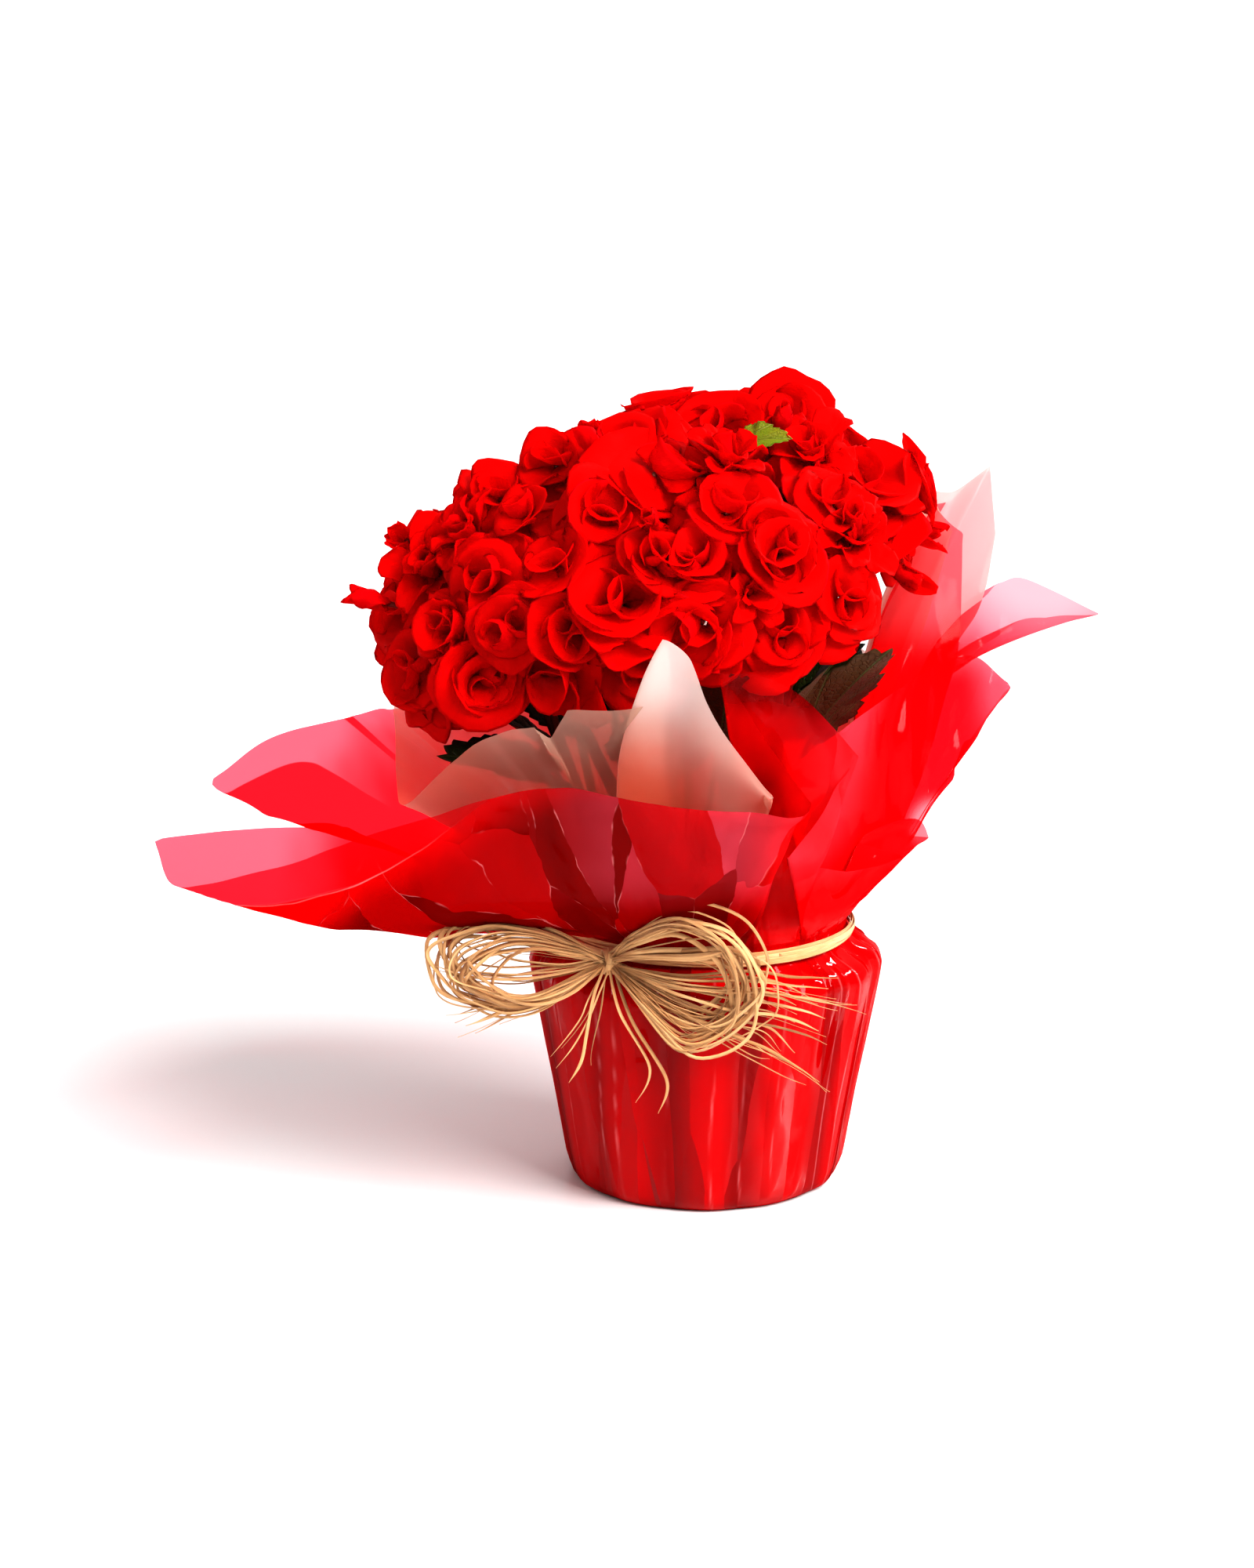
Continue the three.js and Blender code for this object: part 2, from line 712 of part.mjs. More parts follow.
function makeYoungLeaf(sites) {
  const site = sites.find((one) => one.kind === "leaf");
  const along = new THREE.Vector3(0.86, -0.36, 0.3).normalize();
  const normal = new THREE.Vector3(-0.1, -0.62, 0.78);
  normal.addScaledVector(along, -normal.dot(along)).normalize();
  const base = site.at.clone().addScaledVector(along, -10);
  const blade = leafBlade(base, along, normal, 24, 17, 14);
  const seat = base.clone().addScaledVector(along, 7.7);
  const foot = site.at.clone().addScaledVector(domeNormal(site.at), -20);
  const bend = seat.clone().lerp(foot, 0.4).addScaledVector(along, -1.5);
  const stalk = rod([foot, bend, seat], [1.2, 1.1, 0.8], 3);
  place("leaf_young", blade.add(stalk), colours.youngLeaf, 0.5);
}

// A flat raffia strand through points, wide across and thin through.
function strand(points, width, thick, steps, face) {
  const knots = points.map((point) => new THREE.Vector3(...point));
  const curve = new THREE.CatmullRomCurve3(knots, false, "centripetal");
  const rings = [];
  for (let i = 0; i <= steps; i++) {
    const at = curve.getPoint(i / steps);
    const along = curve.getTangent(i / steps);
    const out = face.clone().addScaledVector(along, -face.dot(along)).normalize();
    const across = along.clone().cross(out).normalize();
    const half = 0.5 * width * (i === 0 || i === steps ? 0.6 : 1);
    rings.push([[1, 1], [-1, 1], [-1, -1], [1, -1]].map(([a, b]) => {
      return at.clone().addScaledVector(across, a * half).addScaledVector(out, 0.5 * b * thick);
    }));
  }
  return ringSolid(curve.getPoint(0), rings, curve.getPoint(1));
}

function makeRaffia() {
  const inner = outerNeckRadius + filmThick / 2 + 0.75;
  const outer = inner + 2.6;
  const low = 116;
  const high = 121.8;
  const profile = [[inner, low], [outer, low + 0.8], [outer, high - 0.8], [inner, high]];
  const segments = 26;
  const shape = new THREE.Shape(profile.map(([radius, z]) => new THREE.Vector2(radius, z)));
  const points = shape.getPoints();
  const band = [];
  for (let s = 0; s < segments; s++) {
    band.push(points.map((p) => polar(p.x, (360 * s) / segments, p.y)));
  }
  place("raffia_tie", ringLoop(band), colours.raffia, 0.8);

  const knot = polar(outer + 5.75, -124, 118.5);
  const face = new THREE.Vector3(-0.25, -1, 0.15).normalize();
  const start = [knot.x - 0.5, knot.y - 1.5, knot.z];
  const paths = [
    [[-64, -70, 130], [-92, -76, 135], [-113, -80, 126], [-112, -82, 108], [-86, -82, 99], [-60, -76, 107]],
    [[-62, -72, 124], [-88, -80, 128], [-104, -85, 121], [-103, -86, 111], [-82, -85, 104], [-60, -78, 111]],
    [[-30, -84, 132], [-8, -102, 146], [12, -103, 140], [24, -98, 120], [18, -93, 98], [-4, -92, 88], [-26, -86, 102]],
    [[-30, -82, 126], [-2, -98, 134], [22, -100, 134], [34, -98, 118], [28, -92, 103], [6, -90, 93], [-22, -84, 101]],
    [[-12, -88, 112], [20, -90, 107], [52, -86, 105], [62, -84, 106]],
    [[-14, -86, 106], [16, -88, 98], [44, -86, 90], [52, -86, 84]],
    [[-16, -86, 100], [10, -88, 88], [34, -88, 76], [44, -89, 71]],
    [[-70, -74, 117], [-100, -78, 117], [-126, -80, 124]],
    [[-68, -76, 106], [-92, -80, 99], [-113, -82, 93]],
    [[-50, -80, 100], [-54, -84, 78], [-58, -84, 66]],
    [[-34, -84, 100], [-18, -86, 76], [-22, -86, 58]],
  ];
  const loops = paths.filter((path) => path.length > 4);
  const solids = [rod([
    knot.clone().add(new THREE.Vector3(-2, -1.2, -5)),
    knot,
    knot.clone().add(new THREE.Vector3(0.8, -1.2, 5.5)),
  ], [2.6, 5.6, 2.4], 8)];
  for (const path of paths) {
    const loop = loops.includes(path);
    const through = loop ? [start, ...path, start] : [start, ...path];
    solids.push(strand(through, loop ? 5 : 3, 0.9, loop ? 9 : 3, face));
  }
  place("raffia_bow", joined(solids), colours.raffia, 0.8);
}

// A closed loop of equal rings, joined end to start.
function ringLoop(rings) {
  const count = rings[0].length;
  const points = rings.flat();
  const faces = [];
  for (let r = 0; r < rings.length; r++) {
    const low = r * count;
    const high = ((r + 1) % rings.length) * count;
    for (let c = 0; c < count; c++) {
      const next = (c + 1) % count;
      faces.push([low + c, low + next, high + next], [low + c, high + next, high + c]);
    }
  }
  return closed(points, faces);
}

const sites = makeSites();
makeFilms();
makePot();
const clusters = makeSprays(sites);
makeStems(clusters);
makeYoungLeaf(sites);
makeRaffia();

export default group;
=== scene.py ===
# Potted begonia: the looks of each piece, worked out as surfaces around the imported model.
# Shapes are in millimetres until makePiece turns them into metres.
import itertools
import math

import bpy
import numpy as np
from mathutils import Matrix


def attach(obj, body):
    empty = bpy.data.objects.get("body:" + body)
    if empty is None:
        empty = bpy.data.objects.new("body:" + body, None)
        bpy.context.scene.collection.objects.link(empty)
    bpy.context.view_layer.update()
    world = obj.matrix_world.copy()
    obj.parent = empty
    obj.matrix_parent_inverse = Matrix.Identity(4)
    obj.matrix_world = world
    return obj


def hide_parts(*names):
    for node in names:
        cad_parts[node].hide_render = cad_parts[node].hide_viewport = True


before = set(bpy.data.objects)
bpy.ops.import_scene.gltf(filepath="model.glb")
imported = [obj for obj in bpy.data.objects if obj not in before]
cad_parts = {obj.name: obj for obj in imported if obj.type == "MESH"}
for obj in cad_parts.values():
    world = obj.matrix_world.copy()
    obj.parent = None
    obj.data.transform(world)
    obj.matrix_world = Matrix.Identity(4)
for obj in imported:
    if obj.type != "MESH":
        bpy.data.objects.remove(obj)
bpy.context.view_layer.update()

metresPerMillimetre = 0.001


def unit(vectors):
    return vectors / np.maximum(np.linalg.norm(vectors, axis=-1, keepdims=True), 1e-9)


def dot(a, b):
    return (a * b).sum(-1, keepdims=True)


def without(vectors, along):  # what is left of vectors at right angles to along, at length 1
    return unit(vectors - dot(vectors, along) * along)


def polar(radius, degrees, z):
    angle = np.radians(degrees)
    return np.stack(np.broadcast_arrays(radius * np.cos(angle), radius * np.sin(angle), z), -1)


def smooth(low, high, values):  # 0 below low, 1 above high, 3x^2 - 2x^3 between
    x = np.clip((values - low) / (high - low), 0, 1)
    return x * x * (3 - 2 * x)


def softNoise(points, scale, seed):  # from -1 to 1: random values at lattice corners, blended between them
    spot = points / scale
    cell = np.floor(spot).astype(np.int64)
    part = spot - cell
    part = part * part * (3 - 2 * part)
    total = np.zeros(points.shape[:-1])
    for corner in itertools.product((0, 1), repeat=3):
        key = (cell + corner) @ np.array([73856093, 19349663, 83492791]) + seed * 2654435761
        key = (key ^ (key >> 13)) * 1274126177 & 0xFFFFFFFF
        key = (key ^ (key >> 16)) * 2246822519 & 0xFFFFFFFF
        share = np.where(corner, part, 1 - part).prod(-1)
        total += share * (key / 2147483648 - 1)
    return total


def smoothPath(points, steps):  # Catmull-Rom curve through points of shape (n, m, 3), sampled at steps places
    count = points.shape[1]
    spot = np.linspace(0, count - 1, steps)
    i = np.minimum(spot.astype(int), count - 2)
    t = (spot - i)[None, :, None]
    p0, p1 = points[:, np.maximum(i - 1, 0)], points[:, i]
    p2, p3 = points[:, i + 1], points[:, np.minimum(i + 2, count - 1)]
    return 0.5 * (2 * p1 + (p2 - p0) * t + (2 * p0 - 5 * p1 + 4 * p2 - p3) * t**2
                  + (3 * p1 - p0 - 3 * p2 + p3) * t**3)


def gridFaces(rows, columns):  # triangles from point 0 to the first ring, then those between the rings
    c = np.arange(columns)
    after = (c + 1) % columns
    low = 1 + np.arange(rows - 1)[:, None] * columns
    a, b, d, e = low + c, low + after, low + columns + c, low + columns + after
    fan = np.stack([0 * c, 1 + after, 1 + c], -1)
    return fan, [np.stack([a, b, e], -1).reshape(-1, 3), np.stack([a, e, d], -1).reshape(-1, 3)]


# A solid is given as its points, its triangles and a place for each point, which the materials read.
def ringSolids(first, rings, last, place):  # n closed solids: a first point, rings round a path, a last point
    n, count, columns, _ = rings.shape
    points = np.concatenate([first[:, None], rings.reshape(n, -1, 3), last[:, None]], 1)
    c = np.arange(columns)
    end = 1 + (count - 1) * columns
    fan, sides = gridFaces(count, columns)
    endFan = np.stack([end + c, end + (c + 1) % columns, 0 * c + end + columns], -1)
    faces = np.concatenate([fan, endFan] + sides)
    corners = points[:, faces]
    volume = (corners[:, :, 0] * np.cross(corners[:, :, 1], corners[:, :, 2])).sum((1, 2))
    every = np.where((volume < 0)[:, None, None], faces[None, :, ::-1], faces[None])
    every = every + (np.arange(n) * points.shape[1])[:, None, None]
    return points.reshape(-1, 3), every.reshape(-1, 3), place.reshape(-1, 3)


def gridNormals(grid):  # of a polar grid (n, rings, columns, 3) whose first ring is one point
    across = np.roll(grid, -1, 2) - np.roll(grid, 1, 2)
    out = np.gradient(grid, axis=1)
    normals = unit(np.cross(out, across))
    normals[:, 0] = unit(normals[:, 1].mean(1, keepdims=True))
    return normals


def shells(grid, thickness, place):  # thin closed blades whose two faces share the rim
    normals = gridNormals(grid) * (0.5 * thickness)
    top, bottom = grid + normals, grid - normals
    rings = np.concatenate([top[:, 1:-1], grid[:, -1:], bottom[:, -2:0:-1]], 1)
    count = grid.shape[1]
    side = np.concatenate([np.zeros(count - 2), [0.5], np.ones(count - 2)])
    around = np.concatenate([place[:, 1:-1], place[:, -1:], place[:, -2:0:-1]], 1)
    around[..., 2] += side[:, None]  # the third value: its whole part is the side, the rest is the tone
    n = grid.shape[0]
    ends = [place[:, 0, :1], place[:, 0, :1] + [0, 0, 1]]
    return ringSolids(top[:, 0, 0], rings, bottom[:, 0, 0],
                      np.concatenate([ends[0], around.reshape(n, -1, 3), ends[1]], 1))


anyWay = np.array([0.31, 0.87, 0.38])  # a direction that no stalk or stem follows


def tubes(paths, radii, sides, tones, flat=None, width=None):  # closed tubes, or strands where flat is given
    along = unit(np.gradient(paths, axis=1))
    side = without(anyWay + 0 * along if flat is None else flat, along)
    other = np.cross(along, side)
    angle = 2 * np.pi * np.arange(sides) / sides
    wide = radii if width is None else width
    rings = (paths[:, :, None] + (radii[..., None, None] * np.cos(angle)[:, None]) * side[:, :, None]
             + (wide[..., None, None] * np.sin(angle)[:, None]) * other[:, :, None])
    n = len(paths)
    length = np.concatenate([np.zeros((n, 1)), np.linalg.norm(np.diff(paths, axis=1), axis=-1).cumsum(1)], 1)
    place = np.stack(np.broadcast_arrays(length[:, :, None], (angle / (2 * np.pi))[None, None],
                                         tones[:, None, None]), -1).reshape(n, -1, 3)
    place = np.concatenate([place[:, :1], place, place[:, -1:]], 1)
    return ringSolids(paths[:, 0], rings, paths[:, -1], place)


def makePiece(name, solids, finish, node):  # one mesh of several solids, standing for a CAD node
    starts = np.cumsum([0] + [len(points) for points, _, _ in solids])
    points = np.concatenate([points for points, _, _ in solids]) * metresPerMillimetre
    faces = np.concatenate([faces + start for (_, faces, _), start in zip(solids, starts)])
    places = np.concatenate([place for _, _, place in solids])
    mesh = bpy.data.meshes.new(name)
    mesh.vertices.add(len(points))
    mesh.vertices.foreach_set("co", points.ravel())
    mesh.loops.add(faces.size)
    mesh.loops.foreach_set("vertex_index", faces.ravel())
    mesh.polygons.add(len(faces))
    mesh.polygons.foreach_set("loop_start", np.arange(0, faces.size, 3))
    mesh.polygons.foreach_set("use_smooth", np.ones(len(faces), bool))
    mesh.attributes.new("place", "FLOAT_VECTOR", "POINT").data.foreach_set("vector", places.ravel())
    mesh.update(calc_edges=True)
    mesh.materials.append(finish)
    piece = bpy.data.objects.new(name, mesh)
    bpy.context.scene.collection.objects.link(piece)
    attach(piece, "root")
    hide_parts(node)
    return piece


class Wire:  # an output socket: arithmetic on it adds Math nodes
    def __init__(self, tree, socket=None):
        self.tree, self.socket = tree, socket

    def node(self, kind, settings={}, sockets={}, out=0):  # any node: its settings first, then its sockets
        made = self.tree.nodes.new("ShaderNode" + kind)
        for key, value in settings.items():
            setattr(made, key, value)
        for key, value in sockets.items():
            socket = made.inputs[key]
            if isinstance(value, Wire):
                self.tree.links.new(value.socket, socket)
            else:
                socket.default_value = (*value, 1) if socket.type == "RGBA" else value
        return Wire(self.tree, made.outputs[out] if made.outputs else None)

    def maths(self, operation, a, b=0.0):
        return self.node("Math", {"operation": operation}, {0: a, 1: b})

    def __add__(self, other):
        return self.maths("ADD", self, other)

    def __radd__(self, other):
        return self.maths("ADD", other, self)

    def __sub__(self, other):
        return self.maths("SUBTRACT", self, other)

    def __rsub__(self, other):
        return self.maths("SUBTRACT", other, self)

    def __mul__(self, other):
        return self.maths("MULTIPLY", self, other)

    def __rmul__(self, other):
        return self.maths("MULTIPLY", other, self)

    def __pow__(self, other):
        return self.maths("POWER", self, other)

    def larger(self, other):
        return self.maths("MAXIMUM", self, other)

    def size(self):
        return self.maths("ABSOLUTE", self)

    def whole(self):
        return self.maths("FLOOR", self)

    def rest(self):  # what is left of it above the whole part
        return self.maths("FRACT", self)

    def step(self, low, high):  # 0 below low, 1 above high, soft between
        return self.node("MapRange", {"interpolation_type": "SMOOTHSTEP"},
                         {"Value": self, "From Min": low, "From Max": high})

    def band(self, low, high, soft):  # 1 from low to high, 0 outside
        return self.step(low - soft, low + soft) * (1 - self.step(high - soft, high + soft))

    def distance(self, point):
        return self.node("VectorMath", {"operation": "DISTANCE"}, {0: self, 1: point}, 1)

    def between(self, a, b):  # colour a where this is 0, b where it is 1
        return self.node("Mix", {"data_type": "RGBA"}, {0: self, 6: a, 7: b}, 2)

    def parts(self):  # the x, y and z of a vector
        made = self.node("SeparateXYZ", {}, {0: self})
        return [Wire(self.tree, made.socket.node.outputs[i]) for i in range(3)]

    def noise(self, vector, scale, detail=3.0, **sockets):
        return self.node("TexNoise", {}, {"Vector": vector, "Scale": scale, "Detail": detail, **sockets})

    def stretched(self, vector, scale):
        return self.node("Mapping", {}, {"Vector": vector, "Scale": scale})

    def bump(self, height, distance, strength, **sockets):
        return self.node("Bump", {}, {"Height": height, "Distance": distance, "Strength": strength,
                                      **sockets})

    def mixed(self, share, first, second):  # the first shader where share is 0, the second where it is 1
        return self.node("MixShader", {}, {0: share, 1: first, 2: second})


def newFinish(name):
    finish = bpy.data.materials.new(name)
    finish.use_nodes = True
    finish.node_tree.nodes.clear()
    return finish, Wire(finish.node_tree)


def finishWith(wire, shader):
    wire.node("OutputMaterial", {}, {"Surface": shader})


def objectPlace(wire):  # where a point is in the shared frame, in metres
    return wire.node("TexCoord", {}, {}, 3)


def ownPlace(wire):  # where it is on its own surface
    return wire.node("Attribute", {"attribute_name": "place"}, {}, 1)


# deep is the darker red of the painted shade at each petal's foot and of darker petals; rim is the colour of
# the painted highlight along the margin
petalLook = {"bright": (0.8, 0.0, 0.0), "deep": (0.4, 0.0, 0.0), "back": (0.6, 0.0, 0.01),
             "rim": (0.9, 0.006, 0.02), "glow": (1.0, 0.0, 0.01), "glowShare": 0.52,
             "heart": (0.05, 0.6), "margin": (0.97, 1.02), "mottle": 160.0, "relief": 0.0003}


def petalFinish():  # velvety red with painted shade that deepens towards the heart and a painted highlight along the margin, a little cooler on the back, with fine veins
    finish, wire = newFinish("begonia_petal")
    along, _, tone = ownPlace(wire).parts()
    side, tone = tone.whole(), tone.rest()
    mottle = wire.noise(objectPlace(wire), petalLook["mottle"], 2.0)
    veins = wire.noise(wire.stretched(ownPlace(wire), (3.0, 26.0, 1.0)), 1.6, 2.0)
    # painted shade towards the foot of each petal, where the petals crowd, plus random mottle and tone
    heartShadeAndTone = (1 - along.step(*petalLook["heart"])) * 0.6 + (mottle - 0.5) * 0.3 + tone * 0.45
    front = heartShadeAndTone.between(petalLook["bright"], petalLook["deep"])
    # painted highlight: the margin turns a little towards the rim colour
    front = (along.step(*petalLook["margin"]) * 0.3).between(front, petalLook["rim"])
    back = (mottle * 0.6 + tone * 0.3).between(petalLook["back"], petalLook["bright"])
    bump = wire.bump(veins + mottle * 0.6, petalLook["relief"], 0.5)
    skin = wire.node("BsdfPrincipled", {}, {
        "Base Color": side.between(front, back), "Roughness": 0.55 + mottle * 0.15, "Normal": bump,
        "Specular IOR Level": 0.09})
    glow = wire.node("BsdfTranslucent", {}, {"Color": petalLook["glow"], "Normal": bump})
    finishWith(wire, wire.mixed(petalLook["glowShare"], skin, glow))
    return finish


stalkLook = {"green": (0.05, 0.08, 0.02), "red": (0.2, 0.02, 0.015), "flushed": (0.1, 0.26),  # z in metres
             "relief": 0.0003}


def stalkFinish():  # juicy stalk, green below and flushed red above, with long streaks
    finish, wire = newFinish("begonia_stalk")
    tone = ownPlace(wire).parts()[2]
    streaks = wire.noise(wire.stretched(ownPlace(wire), (0.05, 9.0, 1.0)), 1.0, 3.0)
    height = objectPlace(wire).parts()[2]
    flush = height.step(*stalkLook["flushed"]) * 0.8 + (streaks - 0.5) * 0.6 + tone * 0.2
    colour = flush.between(stalkLook["green"], stalkLook["red"])
    skin = wire.node("BsdfPrincipled", {}, {
        "Base Color": colour, "Roughness": 0.35 + streaks * 0.2,
        "Normal": wire.bump(streaks, stalkLook["relief"], 0.5),
        "Subsurface Weight": 0.15, "Subsurface Scale": 0.003})
    finishWith(wire, skin)
    return finish


leafLook = {"dark": (0.01, 0.022, 0.006), "light": (0.045, 0.07, 0.012), "vein": (0.1, 0.11, 0.03),
            "flush": (0.2, 0.035, 0.01), "under": (0.1, 0.035, 0.012)}
leafDetail = {"veinCount": 9, "veinFrom": 0.04, "veinWidth": (0.012, 0.035), "netScale": 24.0,
              "netWidth": (0.0, 0.12), "relief": 0.0012, "glowShare": 0.18}


def leafFinish(name, look):  # glossy toothed leaf: veins fan out from the stalk, and it is flushed red-brown in patches
    finish, wire = newFinish(name)
    along, across, tone = ownPlace(wire).parts()
    side, tone = tone.whole(), tone.rest()
    turn = wire.maths("ARCTAN2", across, along + leafDetail["veinFrom"])
    fan = turn * (leafDetail["veinCount"] / math.pi)
    reach = wire.maths("SQRT", along * along + across * across)
    nearVein = ((fan + 0.5).rest() - 0.5).size() * reach
    vein = 1 - nearVein.step(*leafDetail["veinWidth"])
    net = wire.node("TexVoronoi", {"feature": "DISTANCE_TO_EDGE"},
                    {"Vector": ownPlace(wire), "Scale": leafDetail["netScale"]})
    mesh = 1 - net.step(*leafDetail["netWidth"])
    mottle = wire.noise(objectPlace(wire), 70.0, 4.0)
    front = (mottle * 0.7 + tone * 0.3).between(look["dark"], look["light"])
    front = (vein * 0.55 + mesh * 0.12).between(front, look["vein"])
    front = ((mottle - 0.45) * 1.4 * tone).between(front, look["flush"])
    back = (vein * 0.7 + mottle * 0.2).between(look["under"], look["vein"])
    height = (1 - vein) + (1 - mesh) * 0.35 + mottle * 0.25
    skin = wire.node("BsdfPrincipled", {}, {
        "Base Color": side.between(front, back), "Roughness": 0.3 + mottle * 0.25 + side * 0.15,
        "Normal": wire.bump(height, leafDetail["relief"], 0.8), "Specular IOR Level": 0.25})
    glow = wire.node("BsdfTranslucent", {}, {"Color": look["light"]})
    finishWith(wire, wire.mixed(leafDetail["glowShare"], skin, glow))
    return finish


placeScale = 60  # a film's place holds its angle round the neck in radians, times this
placeDegrees = 180 / math.pi / placeScale

filmLook = {
    "single": (1.0, 0.19, 0.26), "double": (0.98, 0.012, 0.03), "pale": (1.0, 0.5, 0.56),  # light through it
    "jacket": (0.55, 0.0, 0.002), "dark": (0.26, 0.0, 0.001),  # folds on the pot, and the painted shade in the troughs between them
    "veil": (0.8, 0.0, 0.004), "shaded": (0.2, 0.0, 0.0),  # past the neck, and in the gathers at the front
    # the first colour here is a painted sheen, a pinkish veil where the film would reflect light; line is the
    # colour of painted highlight lines
    "paintedSheen": (0.98, 0.17, 0.25), "line": (1.0, 0.42, 0.42),
    "foldHighlightShare": 0.26, "edgeHighlightShare": 0.5, "creaseHighlightShare": 0.34,  # how far each painted highlight line turns to the line's colour
    "doubleShare": 0.94, "rollShare": 0.7, "tallShare": 0.6,
    "jacketBody": 0.92, "veilBody": 0.14, "shadedBody": 0.78, "litBody": 0.45, "layerBody": 0.18,
    "paintedSheenBody": 0.15, "edgeHighlightBody": 0.3,  # how much of the light each stops and scatters
    "gloss": 0.6, "most": 0.006, "jacketMost": 0.045, "rimMost": 0.1, "polish": 0.06,
}
filmZones = {  # metres: points, and pairs that say where a zone starts and where it is in full
    "neck": (0.0, 0.0, 0.122), "collar": (0.098, 0.138), "potRim": (0.075, 0.09), "doubled": (0.15, 0.195),
    "paleAt": (0.16, 0.07, 0.28), "paleReach": (0.03, 0.065),
    "rollAt": (0.098, 0.002, 0.163), "rollReach": (0.008, 0.018),
    "tall": {"x": (0.05, 0.08), "z": (0.225, 0.26)},
    "lit": {"x": (-0.03, 0.0), "z": (0.19, 0.225)}, "litRight": (0.005, 0.045),
    "shadedFront": (0.02, 0.07), "shadedReach": (0.165, 0.2), "paintedSheenFront": (0.02, 0.05),
    # where the painted sheen lies: at the front towards the right, on facets of one tilt and on the right
    # wing
    "paintedSheenRight": {"x": (0.03, 0.09), "z": (0.15, 0.19), "share": 0.8},
    "paintedSheenSheet": {"x": (-0.08, -0.03), "z": (0.145, 0.175), "share": 0.4, "facets": (0.3, 0.7)},
    "paintedSheenWing": {"x": (0.112, 0.14), "z": (0.19, 0.22), "share": 0.7},
    "clearTop": (0.235, 0.255), "dullLeft": (0.09, 0.13),  # the latter counted to the left
}
# degrees round the neck, where the film is folded back on itself at the left; reach in metres
filmFlap = {"from": 165.5, "to": 174.5, "reach": (0.19, 0.24), "strip": (157.5, 160.2), "soft": 0.1}
filmRim = {  # the rim of the sheet in front of the left wing: a parabola over x that drops to the front; line is the width of the painted highlight line along it
    "from": -0.2, "bend": 4.2, "low": 0.1275, "tilt": 0.252, "wave": 0.006, "soft": 0.0006, "line": 0.0001,
    "layerEnd": (-0.1, -0.07), "edgeHighlightEnd": (-0.15, -0.1),
}
# seam and creased: how wide the painted highlight lines on the creases are and where they show
filmFacets = {"across": 0.09, "out": 13.0, "streak": 0.3, "folds": 0.9, "skew": 4.0, "seam": (0.003, 0.012),
              "creased": (0.5, 0.66), "depth": 0.016, "streakDepth": 0.0012}


def inZone(x, z, zone):  # towards the right and the top of a zone's limits
    return x.step(*zone["x"]) * z.step(*zone["z"]) * zone.get("share", 1)


def filmLayers(spot, reach, uneven, turn, collar):
    # pale is 1 where the film hardly tints the light through it, near where layers lie over each other:
    # round the neck, in the flaps folded back at the left and under the front sheet. layer is that sheet, and
    # edge is a painted highlight line along its rim.
    x, y, z = spot.parts()
    tall = inZone(x, z, filmZones["tall"])
    thin = 1 - spot.distance(filmZones["paleAt"]).step(*filmZones["paleReach"])
    rolled = 1 - spot.distance(filmZones["rollAt"]).step(*filmZones["rollReach"])
    pale = thin.larger(rolled * filmLook["rollShare"]).larger(tall * filmLook["tallShare"])
    near = (1 - (reach + uneven * 0.06).step(*filmZones["doubled"])) * (1 - tall)
    start = filmFlap["from"] + reach.step(*filmFlap["reach"]) * (filmFlap["to"] - filmFlap["from"])
    flap = (turn - start).step(-filmFlap["soft"], filmFlap["soft"])
    flap = flap.larger(turn.band(*filmFlap["strip"], filmFlap["soft"]))
    curve = (x - filmRim["from"]).larger(0.0) ** 2.0 * filmRim["bend"] + filmRim["low"]
    rim = curve - (z + y * filmRim["tilt"]) + uneven * filmRim["wave"]
    layer = rim.step(0.0, filmRim["soft"]) * (1 - x.step(*filmRim["layerEnd"])) * collar
    # painted highlight line along the rim of the front sheet
    edge = 1 - rim.size().step(filmRim["line"], filmRim["soft"])
    edge = edge * (1 - x.step(*filmRim["edgeHighlightEnd"])) * collar
    return pale, near.larger(flap.larger(layer)), layer, edge


